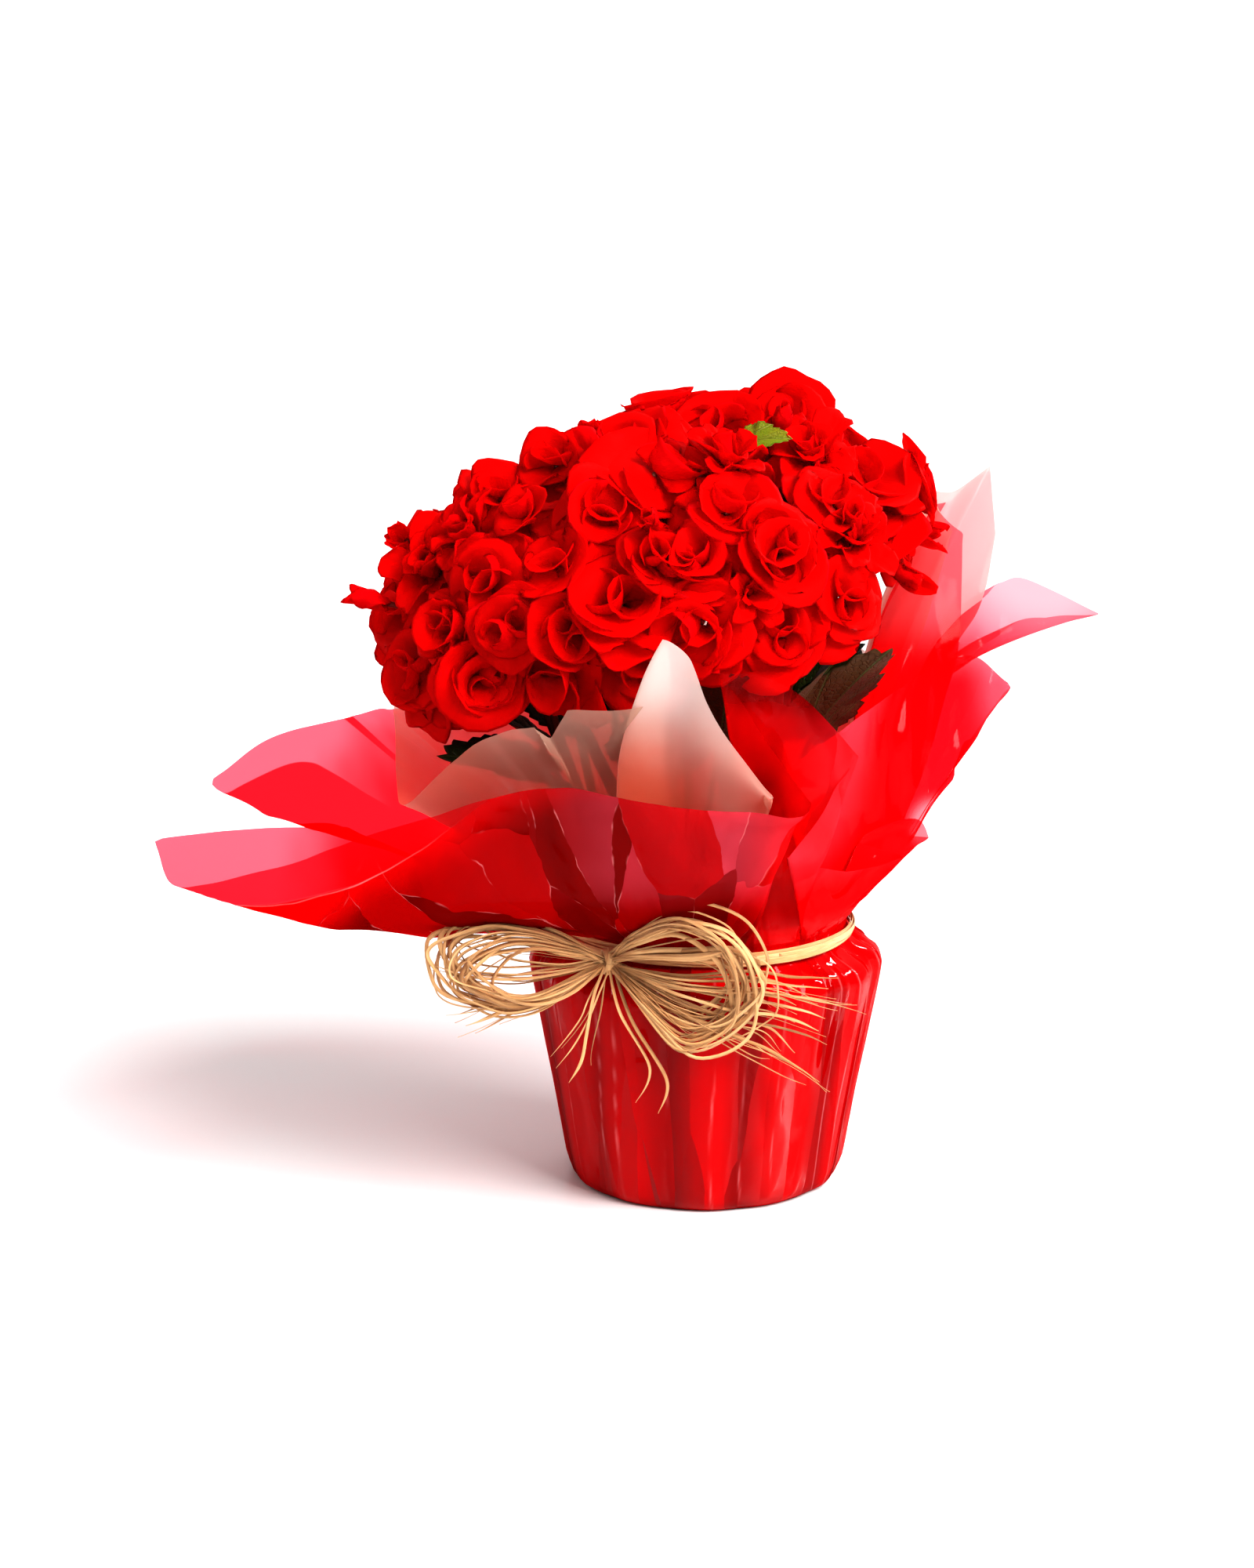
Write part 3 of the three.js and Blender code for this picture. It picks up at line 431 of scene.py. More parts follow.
def outerFilmFinish():
    # Clear red film. One layer tints the light at the tips of the wings and folded layers tint it deeper
    # nearer the neck. A red veil scatters, most of all in the gathers at the front and on the pot, and the
    # skin is glossy. Flat facets past the neck tilt the skin. Painted shade darkens the gathers at the front
    # and the troughs of the folds on the pot, some facets are painted lighter, and the film scatters more
    # where it is lit at the right and the top. Painted highlight lines lie along folds on the pot, along
    # creases and along the rim of the front sheet, and patches of painted sheen lie at the front and on the
    # right wing.
    finish, wire = newFinish("red_film")
    spot = objectPlace(wire)
    x, y, z = spot.parts()
    line, across, fold = ownPlace(wire).parts()
    toFront = 0 - y
    reach = spot.distance(filmZones["neck"])
    collar = z.step(*filmZones["collar"])
    below = 1 - z.step(*filmZones["clearTop"])
    streak = wire.noise(wire.stretched(spot, (1.0, 1.0, 0.35)), 38.0, 4.0, Distortion=0.6)
    folds = wire.noise(wire.stretched(spot, (1.0, 1.0, 0.25)), 26.0, 2.0)
    uneven = folds - 0.5
    pale, near, layer, edge = filmLayers(spot, reach, uneven, across * placeDegrees, collar)
    # painted light and shade: the film scatters more where it is lit, at the right and the top, and the
    # gathers at the front are painted dark
    lit = inZone(x, z, filmZones["lit"]).larger(x.step(*filmZones["litRight"]))
    shaded = 1 - (reach + uneven * 0.03).step(*filmZones["shadedReach"])
    shaded = toFront.step(*filmZones["shadedFront"]) * shaded * collar * (1 - lit)
    lit = lit * near * collar * below

    grid = wire.node("CombineXYZ", {}, {
        0: across * filmFacets["across"] + streak * filmFacets["streak"],
        1: reach * filmFacets["out"] + folds * filmFacets["folds"], 2: 0.0})
    facet = wire.node("TexVoronoi", {}, {"Vector": grid, "Scale": 1.0}, 2)
    tilt = Wire(wire.tree, facet.socket.node.outputs["Color"]).parts()
    seam = wire.node("TexVoronoi", {"feature": "DISTANCE_TO_EDGE"}, {"Vector": grid, "Scale": 1.0})
    # painted highlight lines along some facet edges, as on creases
    crease = (1 - seam.step(*filmFacets["seam"])) * wire.noise(spot, 55.0, 2.0).step(*filmFacets["creased"])
    local = wire.node("VectorMath", {"operation": "SUBTRACT"}, {0: grid, 1: facet}).parts()
    height = (tilt[0] - 0.5) * local[0] + (tilt[1] - 0.5) * local[1] * filmFacets["skew"]
    facets = wire.bump(height, filmFacets["depth"], 1.0)
    bump = wire.bump(streak, filmFacets["streakDepth"], 0.6, Normal=facets)
    # painted sheen: pinkish patches where the film would catch a reflection, stronger on some folds
    sheet = inZone(x, z, filmZones["paintedSheenSheet"]) * tilt[1].step(*filmZones["paintedSheenSheet"]["facets"])
    paintedSheen = toFront.step(*filmZones["paintedSheenFront"]) * inZone(x, z, filmZones["paintedSheenRight"]).larger(sheet)
    paintedSheen = paintedSheen.larger(inZone(x, z, filmZones["paintedSheenWing"])) * below * (0.3 + folds * 0.8)

    single = wire.mixed(pale, wire.node("BsdfTransparent", {}, {"Color": filmLook["single"]}),
                        wire.node("BsdfTransparent", {}, {"Color": filmLook["pale"]}))
    double = wire.node("BsdfTransparent", {}, {"Color": filmLook["double"]})
    clear = wire.mixed(near * filmLook["doubleShare"] * (1 - pale), single, double)
    # painted shade: on the pot the colour darkens from the crests of the folds to their troughs
    jacket = (1 - fold.step(0.1, 0.75) * 0.75 - streak * 0.25).between(filmLook["jacket"], filmLook["dark"])
    # painted light: some facets in the shaded gathers are lighter, as if tilted towards the lamps
    shade = shaded * (1 - tilt[2].step(0.45, 0.9) * 0.35)
    colour = shade.between(collar.between(jacket, filmLook["veil"]), filmLook["shaded"])
    # painted highlight lines: on the folds of the pot, on the rim of the front sheet and on creases
    marks = line * wire.noise(spot, 30.0, 2.0).step(0.4, 0.66) * filmLook["foldHighlightShare"]
    marks = marks + edge * filmLook["edgeHighlightShare"] + crease * shaded * filmLook["creaseHighlightShare"]
    colour = marks.between(paintedSheen.between(colour, filmLook["paintedSheen"]), filmLook["line"])
    skin = wire.node("BsdfPrincipled", {}, {
        "Base Color": colour, "Roughness": 0.5 + streak * 0.1, "Normal": bump,
        "Specular IOR Level": 0.0})
    body = filmLook["jacketBody"] - collar * (filmLook["jacketBody"] - filmLook["veilBody"])
    body = body + shaded * filmLook["shadedBody"] + lit * filmLook["litBody"] + layer * filmLook["layerBody"]
    body = (body + paintedSheen * filmLook["paintedSheenBody"] + edge * filmLook["edgeHighlightBody"]) * (1 - pale)
    film = wire.mixed(body, clear, skin)
    shine = wire.node("BsdfAnisotropic", {}, {
        "Color": (1, 1, 1), "Roughness": filmLook["polish"], "Normal": bump})
    gloss = wire.node("Fresnel", {}, {"IOR": 1.3, "Normal": bump}) * filmLook["gloss"]
    onPot = z.step(*filmZones["potRim"]) * filmLook["rimMost"] + filmLook["jacketMost"]
    share = wire.maths("MINIMUM", gloss, filmLook["most"] + (1 - collar) * onPot)
    share = share * (1 - pale) * (1 - (0 - x).step(*filmZones["dullLeft"]))
    finishWith(wire, wire.mixed(share, film, shine))
    return finish


linerLook = {
    # milk is the milky film in painted shade; the next two are painted light, lit white and pink where red
    # light comes through; flush is painted red light at the foot
    "milkWithPaintedShade": (0.6, 0.44, 0.34), "paintedLight": (0.95, 0.9, 0.86), "paintedRedLight": (0.8, 0.34, 0.35),
    "flush": (0.95, 0.25, 0.14), "glow": (0.88, 0.66, 0.55), "through": (0.98, 0.93, 0.9),
    "cone": (-104, -83), "strip": (9, 32), "soft": 1,  # degrees round the neck where the film gets painted light: lit white on the cone, pink red light on the strip
    # where the painted red light at the foot fades out, and how it rises towards the middle and on the cone
    "flushed": (0.165, 0.22), "middle": 0.005, "slope": 0.3, "coneRise": 0.028,  # metres
    "least": 0.66, "relief": 0.001,
}


def linerFinish():  # milky film: most of it scatters and light glows through it. Painted red light reaches up from its foot and tints a strip, the cone is painted lit white and the rest is in painted shade
    finish, wire = newFinish("milky_film")
    spot = objectPlace(wire)
    x, _, z = spot.parts()
    cloud = wire.noise(spot, 22.0, 3.0)
    turn = ownPlace(wire).parts()[1] * placeDegrees
    cone = turn.band(*linerLook["cone"], linerLook["soft"])
    strip = turn.band(*linerLook["strip"], linerLook["soft"])
    paintedLight = cone.larger(strip)
    milkWithPaintedShade = paintedLight.between(linerLook["milkWithPaintedShade"], strip.between(linerLook["paintedLight"], linerLook["paintedRedLight"]))
    # painted red light: strongest at the foot, reaching higher in the middle and on the cone
    level = z + (cloud - 0.5) * 0.03 - (x - linerLook["middle"]).size() * linerLook["slope"]
    flush = 1 - (level - cone * linerLook["coneRise"]).step(*linerLook["flushed"])
    wrinkles = wire.noise(wire.stretched(spot, (1.0, 1.0, 0.4)), 30.0, 3.0)
    skin = wire.node("BsdfPrincipled", {}, {
        "Base Color": flush.between(milkWithPaintedShade, linerLook["flush"]), "Roughness": 0.26 + cloud * 0.12,
        "Normal": wire.bump(wrinkles, linerLook["relief"], 0.35), "Specular IOR Level": 0.4})
    glow = wire.node("BsdfTranslucent", {}, {"Color": linerLook["glow"]})
    clear = wire.node("BsdfTransparent", {}, {"Color": linerLook["through"]})
    share = linerLook["least"] + cloud * 0.16 + paintedLight * 0.14
    finishWith(wire, wire.mixed(share, clear, wire.mixed(0.4, skin, glow)))
    return finish


raffiaLook = {"pale": (0.78, 0.48, 0.23), "tan": (0.54, 0.23, 0.065), "brown": (0.17, 0.07, 0.02),
              "relief": 0.0004}


def raffiaFinish():  # dry palm fibre: long streaks of straw and tan
    finish, wire = newFinish("raffia")
    tone = ownPlace(wire).parts()[2]
    streaks = wire.noise(wire.stretched(ownPlace(wire), (0.06, 14.0, 7.0)), 1.0, 4.0)
    patches = wire.noise(wire.stretched(ownPlace(wire), (0.12, 1.0, 9.0)), 1.0, 2.0)
    shade = (streaks - 0.5) * 1.5 + (patches - 0.5) * 0.8 + tone * 0.5 + 0.12
    colour = shade.between(raffiaLook["pale"], raffiaLook["tan"])
    colour = (tone * tone * tone * patches).between(colour, raffiaLook["brown"])
    skin = wire.node("BsdfPrincipled", {}, {
        "Base Color": colour, "Roughness": 0.5 + streaks * 0.25,
        "Normal": wire.bump(streaks, raffiaLook["relief"], 0.8), "Sheen Weight": 0.15})
    finishWith(wire, skin)
    return finish


potLook = {"clay": (0.3, 0.1, 0.05), "scuffed": (0.44, 0.19, 0.11), "rings": 60.0, "relief": 0.0004}


def potFinish():  # moulded terracotta-coloured plastic with faint rings and scuffs
    finish, wire = newFinish("pot_plastic")
    spot = objectPlace(wire)
    scuff = wire.noise(spot, 90.0, 5.0)
    rings = wire.node("TexWave", {"bands_direction": "Z"},
                      {"Vector": spot, "Scale": potLook["rings"], "Distortion": 0.4})
    colour = (scuff * 0.8).between(potLook["clay"], potLook["scuffed"])
    skin = wire.node("BsdfPrincipled", {}, {
        "Base Color": colour, "Roughness": 0.45 + scuff * 0.3,
        "Normal": wire.bump(rings * 0.3 + scuff, potLook["relief"], 0.5)})
    finishWith(wire, skin)
    return finish


soilLook = {"wet": (0.012, 0.007, 0.004), "dry": (0.07, 0.04, 0.022), "crumb": (0.55, 0.5, 0.42),
            "grain": 420.0, "relief": 0.0015}


def soilFinish():  # moist peat with paler crumbs
    finish, wire = newFinish("peat")
    spot = objectPlace(wire)
    grain = wire.noise(spot, soilLook["grain"], 6.0)
    tone = ownPlace(wire).parts()[2]
    colour = tone.between(grain.between(soilLook["wet"], soilLook["dry"]), soilLook["crumb"])
    skin = wire.node("BsdfPrincipled", {}, {
        "Base Color": colour, "Roughness": 0.75 + grain * 0.2,
        "Normal": wire.bump(grain, soilLook["relief"], 1.0)})
    finishWith(wire, skin)
    return finish


# millimetres; the depths are shares of the way from the centre of the dome of flowers to its skin
plant = {"domeCentre": np.array([-25.0, 0, 258]), "domeSemi": np.array([133.0, 115, 100]), "domeTilt": 0.17,
         "junctionDepth": 0.5, "seed": 20417, "backDepth": 0.87, "backTries": 400, "backRoom": 0.8,
         "sprayDepth": 0.88, "sway": 1.0, "frontTurn": -0.45, "upTurn": 0.12}
topBloom = {"lift": -3, "scale": 0.82, "facing": np.array([0.08, -0.9, 0.5])}  # it looks out at the front

frontBlooms = [  # centre, then half width
    [33, 6, 348, 19], [5, 3, 345, 18], [-34, -16, 340, 16], [-67, -2, 329, 17], [-90, -8, 316, 17],
    [-21, -49, 334, 20], [10, -42, 338, 15], [-45, -68, 318, 18], [8, -72, 322, 18], [72, -10, 322, 21],
    [94, 8, 316, 14], [87, 2, 295, 14], [31, -80, 305, 20], [60, -66, 281, 18], [32, -82, 269, 16],
    [64, -52, 305, 17], [47, -24, 335, 15], [-38, -94, 286, 21], [-4, -97, 276, 17], [-64, -89, 252, 19],
    [-95, -66, 287, 19], [-68, -78, 299, 17], [-105, -28, 301, 17], [-122, -20, 284, 16], [-137, -4, 262, 17],
    [-128, -40, 243, 17], [-99, -72, 248, 18], [-29, -89, 258, 15], [-4, -88, 300, 16], [-79, -48, 315, 17],
    [-56, -94, 273, 14], [-84, -84, 271, 15], [54, -52, 321, 15], [17, -91, 288, 13], [-20, -87, 304, 15],
    [-112, -60, 266, 15],
]
tuftBlooms = (6, 15, 16, 22, 23, 33)  # which of them show narrow petals
budSites = [
    [32, -22, 351, 9], [-50, -30, 343, 9], [-25, -84, 318, 8], [86, -18, 281, 9], [-147, -20, 270, 9],
    [-133, -4, 294, 8], [98, 12, 294, 8],
]
youngSite = [20, -30, 343, 13]

sprays = [  # name, direction and height angle of the cluster, the stem that it grows from
    ["front_left", -112, 12, 0], ["front_right", -72, 12, 0], ["front_high", -92, 44, 0],
    ["right_front", -38, 12, 1], ["right", 4, 24, 1], ["right_high", -30, 50, 1],
    ["back_right", 38, 16, 2], ["back", 76, 14, 2], ["back_high", 55, 52, 2],
    ["back_left", 112, 14, 3], ["left_back", 148, 12, 3], ["left_high", 130, 48, 3],
    ["left", -178, 20, 4], ["left_front", -145, 12, 4], ["left_top", -160, 48, 4], ["top", 60, 82, 2],
]

drawState = [plant["seed"]]


def draw():  # the same seeded draw that places the solids
    drawState[0] = (drawState[0] * 1664525 + 1013904223) & 0xFFFFFFFF
    return drawState[0] / 4294967296


def domePoint(azimuth, elevation, depth):
    point = polar(np.cos(np.radians(elevation)), azimuth, np.sin(np.radians(elevation)))
    point = point * plant["domeSemi"] * depth
    point[..., 2] += plant["domeTilt"] * point[..., 0]
    return point + plant["domeCentre"]


def domeNormal(points):
    local = points - plant["domeCentre"]
    local[..., 2] -= plant["domeTilt"] * local[..., 0]
    return unit(local / plant["domeSemi"] ** 2)


def backBlooms():
    found = []
    for _ in range(plant["backTries"]):
        elevation, azimuth = 2 + 76 * draw(), -8 + 200 * draw()
        at, size = domePoint(azimuth, elevation, plant["backDepth"]), 19 + 2.5 * draw()
        others = np.array(frontBlooms + found)
        room = plant["backRoom"] * (size + others[:, 3])
        if (np.linalg.norm(others[:, :3] - at, axis=1) >= room).all():
            found.append([*at, size])
    return found


def makeSites():  # where each flower, bud and the young leaf is, its size and which way it faces
    blooms = frontBlooms + backBlooms()
    rows = np.array(blooms + budSites + [youngSite])
    kinds = ["tuft" if i in tuftBlooms else "bloom" for i in range(len(blooms))]
    kinds += ["bud"] * len(budSites) + ["leaf"]
    at, size = rows[:, :3], rows[:, 3]
    at[0, 2] += topBloom["lift"]
    size[0] *= topBloom["scale"]
    draws = np.array([[draw() for _ in range(4)] for _ in rows])
    normal = domeNormal(at.copy())
    towards = np.where(normal[:, 1:2] < 0.2, plant["frontTurn"], 0) * [0, 1, 0] + [0, 0, plant["upTurn"]]
    facing = unit(normal + (draws[:, :3] - 0.5) * plant["sway"] + towards)
    facing[0] = unit(topBloom["facing"])
    helper = np.where(np.abs(facing[:, 2:]) > 0.9, [1.0, 0, 0], [0, 0, 1.0])
    across = unit(np.cross(helper, facing))
    return {"kinds": np.array(kinds), "at": at, "size": size, "facing": facing, "across": across,
            "up": np.cross(facing, across), "turn": 2 * np.pi * draws[:, 3]}


cellRoom = {"soft": 5.0, "least": 0.4, "overlap": 7.0, "gap": 12, "turns": 3}  # mm, then how often


def pressed(sites, k, points):
    # Points pressed back from the walls between this flower and its neighbours: within the soft margin the
    # room that is left before a wall shrinks exponentially towards the least one.
    gaps = np.linalg.norm(sites["at"] - sites["at"][k], axis=1)
    near = (gaps > 0) & (gaps <= sites["size"] + sites["size"][k] + cellRoom["gap"])
    ways = (sites["at"][near] - sites["at"][k]) / gaps[near, None]
    reaches = gaps[near] * sites["size"][k] / (sites["size"][near] + sites["size"][k]) + cellRoom["overlap"]
    soft, least = cellRoom["soft"], cellRoom["least"]
    for turn in range(cellRoom["turns"]):
        for away, reach in zip(ways, reaches):
            room = reach - (points - sites["at"][k]) @ away
            kept = np.maximum(room, least)
            if turn == 0:
                eased = least + (soft - least) * np.exp((room - soft) / (soft - least))
                kept = np.where(room < soft, eased, room)
            points = points + (room - kept)[..., None] * away
    return points


def placed(sites, k, local):  # local x, y, z of a flower, as points of the plant
    return (sites["at"][k] + local[..., 0:1] * sites["across"][k] + local[..., 1:2] * sites["up"][k]
            + local[..., 2:3] * sites["facing"][k])


petalRows = [  # petals in a whorl, length, width, rise at the foot and at the tip, start height, start radius
    {"count": 3, "length": 1.6, "width": 3.4, "foot": 4, "tip": -34, "height": -0.42, "start": 0.1},
    {"count": 2, "length": 1.42, "width": 3.6, "foot": 20, "tip": -16, "height": -0.34, "start": 0.08},
    {"count": 2, "length": 1.06, "width": 3.3, "foot": 38, "tip": 24, "height": -0.27, "start": 0.05},
    {"count": 2, "length": 0.62, "width": 2.2, "foot": 62, "tip": 108, "height": -0.2, "start": 0.0},
]
tuftRows = [  # narrower petals that stand apart
    {"count": 5, "length": 1.5, "width": 1.15, "foot": 10, "tip": -16, "height": -0.4, "start": 0.12},
    {"count": 5, "length": 1.4, "width": 1.0, "foot": 34, "tip": 14, "height": -0.34, "start": 0.1},
    {"count": 4, "length": 1.2, "width": 0.9, "foot": 56, "tip": 48, "height": -0.28, "start": 0.08},
    {"count": 3, "length": 1.0, "width": 0.8, "foot": 76, "tip": 92, "height": -0.22, "start": 0.06},
]
budRows = [  # two broad petals pressed together over two narrow ones, like a beak
    {"count": 2, "length": 2.3, "width": 1.5, "foot": 42, "tip": 128, "height": -0.9, "start": 0.1},
    {"count": 2, "length": 1.9, "width": 0.9, "foot": 52, "tip": 116, "height": -0.8, "start": 0.06},
]
petalGrid = {"fractions": [0, 0.28, 0.52, 0.74, 0.9, 1], "columns": 28, "thickness": 0.42, "seed": 7}
petalForm = {  # shares of the petal's length or the flower's size and how far they vary; turns in degrees
    "scallop": (0.03, 0.016), "notch": 0.1, "ruffle": (0.075, 0.045), "fan": 0.018, "cup": 0.2,
    "rollBack": 0.14, "wrap": 0.4, "lengths": (0.8, 1.14), "widths": (0.85, 1.1), "ruffles": (0.5, 1.5),
    "cups": (0.3, 1.4), "heights": 0.04, "around": 0.26, "footTurn": 12, "tipTurn": 38,
}
bloomRange = {"open": (-30, 22), "grow": (0.9, 1.14), "drift": 0.26}  # degrees, times the size, share of it


def petalSurfaces(size, row, turn, open, drift, rng):
    # A petal is a polar grid: p runs from foot to tip and q across. The middle line is an arc whose slope
    # goes from foot to tip angle, the blade wraps round the flower's axis, its margin is waved and turns
    # back, and shallow folds fan out from its foot. open adds to the slopes; drift shifts the whorl's axis.
    n, count, form = len(size), row["count"], petalForm

    def vary(low, high):
        return rng.uniform(low, high, (n, count, 1, 1))

    angle = 2 * np.pi * np.arange(petalGrid["columns"]) / petalGrid["columns"]
    f = np.array(petalGrid["fractions"])[:, None]
    big = size[:, None, None, None]
    phase = vary(0, 2 * np.pi)
    broad, fine = form["scallop"]
    scallop = 1 + broad * np.sin(4 * angle + phase) + fine * np.sin(10 * angle + 2 * phase)
    notch = form["notch"] * np.exp(-((np.minimum(angle, 2 * np.pi - angle) / 0.3) ** 2))
    p = 0.5 + f * (0.5 - notch * vary(0, 1)) * np.cos(angle) * scallop
    q = f * np.sin(angle) * (0.86 + 0.2 * np.cos(angle)) * scallop
    length = big * row["length"] * vary(*form["lengths"])
    foot = np.radians(row["foot"] + open[:, None, None, None] + vary(-form["footTurn"], form["footTurn"]))
    tip = np.radians(row["tip"] + open[:, None, None, None] + vary(-form["tipTurn"], form["tipTurn"]))
    bend = np.where(np.abs(tip - foot) < 0.02, 0.02, tip - foot)
    slope = foot + bend * p
    out = length * (np.sin(slope) - np.sin(foot)) / bend
    rise = length * (np.cos(foot) - np.cos(slope)) / bend
    broad, fine = form["ruffle"]
    waves = broad * np.sin(2 * angle + phase) + fine * np.sin(5 * angle + 3 * phase)
    ruffle = f**3 * waves * vary(*form["ruffles"])
    fan = form["fan"] * np.cos(15 * q / (p + 0.25) + phase) * smooth(0.1, 0.6, f)
    cup = (form["cup"] * q**2 - form["rollBack"] * smooth(0.7, 1.05, p)) * vary(*form["cups"])
    lift = length * (ruffle + cup + fan)
    out = out - np.sin(slope) * lift
    rise = rise + np.cos(slope) * lift
    wrap = out + form["wrap"] * big
    swing = 0.5 * big * row["width"] * vary(*form["widths"]) * q / wrap
    radius = wrap * np.cos(swing) - form["wrap"] * big + row["start"] * big
    side = wrap * np.sin(swing)
    z = row["height"] * big + rise + vary(-form["heights"], form["heights"]) * big
    spot = np.arange(count)[:, None, None] + vary(-form["around"], form["around"])
    whorl = turn[:, None, None, None] + 2 * np.pi * spot / count
    x = radius * np.cos(whorl) - side * np.sin(whorl) + drift[:, 0, None, None, None] * rise
    y = radius * np.sin(whorl) + side * np.cos(whorl) + drift[:, 1, None, None, None] * rise
    grid = np.stack(np.broadcast_arrays(x, y, z), -1)
    place = np.stack(np.broadcast_arrays(p, q, vary(0.02, 0.95)), -1)
    return grid, place


def makeHeads(sites, kind, rows, rng):  # the petals of every bloom or bud, pressed into its cell
    chosen = np.flatnonzero(sites["kinds"] == kind)
    free = kind != "bud"
    size = sites["size"][chosen] * (rng.uniform(*bloomRange["grow"], len(chosen)) if free else 1)
    open = rng.uniform(*bloomRange["open"], len(chosen)) * free
    drift = rng.normal(0, bloomRange["drift"], (len(chosen), 2)) * free
    whorls = [petalSurfaces(size, row, sites["turn"][chosen] + 0.5 * np.pi * i, open, drift, rng)
              for i, row in enumerate(rows)]
    grids = np.concatenate([grid for grid, _ in whorls], 1)
    places = np.concatenate([place for _, place in whorls], 1)
    return {k: shells(pressed(sites, k, placed(sites, k, grid)), petalGrid["thickness"], place)
            for k, grid, place in zip(chosen, grids, places)}


stalkForm = {"deep": {"bloom": 0.52, "tuft": 0.52, "bud": 0.95}, "inside": 0.2, "straight": 9,
             "radius": 1.25, "steps": 14, "sides": 9}
knuckle = {"under": 4.6, "over": 1.6, "ends": 1.7, "swell": 0.9, "steps": 9, "sides": 12}


def makeClusters(sites):  # which flowers grow from each spray, and the stalk of each
    clusters = []
    depth = plant["sprayDepth"]
    fronts = np.array([domePoint(azimuth, elevation, depth) for _, azimuth, elevation, _ in sprays])
    nearest = np.linalg.norm(sites["at"][:, None] - fronts, axis=-1).argmin(1)
    for i, (name, azimuth, elevation, stem) in enumerate(sprays):
        heart = domePoint(azimuth, elevation, plant["junctionDepth"])
        members = np.flatnonzero((nearest == i) & (sites["kinds"] != "leaf"))
        stalks = []
        for k in members:
            deep = stalkForm["deep"][sites["kinds"][k]] * sites["size"][k]
            ends = placed(sites, k, np.array([[0, 0, -deep], [0, 0, -deep - stalkForm["straight"]]]))
            inside = placed(sites, k, np.array([0, 0, -stalkForm["inside"] * sites["size"][k]]))
            stalks.append([heart, ends[1] + 0.15 * (heart - ends[1]), pressed(sites, k, ends[0]), inside])
        clusters.append({"name": name, "stem": stem, "heart": heart, "members": members, "stalks": stalks,
                         "aim": unit(heart - stemPath(stem)[3])})
    return clusters


def makeFlowers(sites, clusters):
    rng = np.random.default_rng(petalGrid["seed"])
    heads = makeHeads(sites, "bloom", petalRows, rng)
    heads.update(makeHeads(sites, "tuft", tuftRows, rng))
    heads.update(makeHeads(sites, "bud", budRows, rng))
    petal, stalk = petalFinish(), stalkFinish()
    for cluster in clusters:
        if not len(cluster["members"]):
            continue
        node = "flowers_" + cluster["name"]
        makePiece("petals_" + cluster["name"], [heads[k] for k in cluster["members"]], petal, node)
        paths = smoothPath(np.array(cluster["stalks"]), stalkForm["steps"])
        tones = np.linspace(0, 0.9, len(paths))
        stalks = tubes(paths, np.full(paths.shape[:2], stalkForm["radius"]), stalkForm["sides"], tones)
        heart, aim = cluster["heart"], cluster["aim"]
        joint = np.array([[heart - knuckle["under"] * aim, heart, heart + knuckle["over"] * aim]])
        swell = np.sin(np.linspace(0, np.pi, knuckle["steps"]))[None]
        knob = tubes(smoothPath(joint, knuckle["steps"]), knuckle["ends"] + knuckle["swell"] * swell,
                     knuckle["sides"], np.array([0.5]))
        makePiece("stalks_" + cluster["name"], [stalks, knob], stalk, node)
    print("flowers:", len(heads), "blooms and buds in", len(clusters), "clusters")
    return stalk


stemSites = [["front", -90], ["right", -18], ["back", 54], ["far", 126], ["left", 198]]
leafSites = [  # stem, direction, distance from the axis, height, rise of the blade, length, width, roll
    [0, -108, 46, 194, 52, 52, 46, 8], [0, -79, 50, 202, 60, 62, 52, -14], [1, -48, 50, 204, 60, 64, 54, 26],
    [1, -18, 50, 202, 58, 60, 54, -26], [2, 30, 46, 198, 52, 56, 50, 10], [2, 68, 50, 198, 52, 58, 50, -10],
    [3, 111, 50, 198, 52, 58, 50, 10], [3, 146, 56, 196, 46, 58, 50, -8], [4, 180, 60, 194, 40, 58, 50, 8],
    [4, 208, 62, 190, 26, 60, 50, -16],
]
innerLeafSites = [[0, -92, 22, 46], [1, -12, 34, 44]]  # stem, direction, height angle, size
stemShape = {"path": [[24, 58, 0], [24, 98, 0], [32, 130, -4], [38, 156, -10]],  # from the axis, z, towards x
             "radii": (3.5, 2.9), "sides": 16, "steps": 24, "seat": 4.95, "innerDepth": 0.62}
branchShape = {"steps": 16, "sides": 10, "flower": (2.2, 1.6), "leaf": (1.7, 1.1)}  # radii at foot and tip


def stemPath(index):
    angle = stemSites[index][1]
    return np.array([polar(radius, angle, z) + [shift, 0, 0] for radius, z, shift in stemShape["path"]])


leafGrid = {"rings": 13, "columns": 104, "teeth": 26, "thickness": 0.5}
leafForm = {  # shares of the length for the outline and the fold, millimetres for the waves and the veins
    "centre": 0.36, "reach": 0.38, "point": 0.28, "heart": 0.2, "toothing": (0.1, 0.08), "sides": (1.08, 0.9),
    "fold": 0.22, "arch": 0.16, "waves": (1.1, 0.7), "veinDepth": 0.7, "veinWidth": 1.3, "seat": 0.16,
}


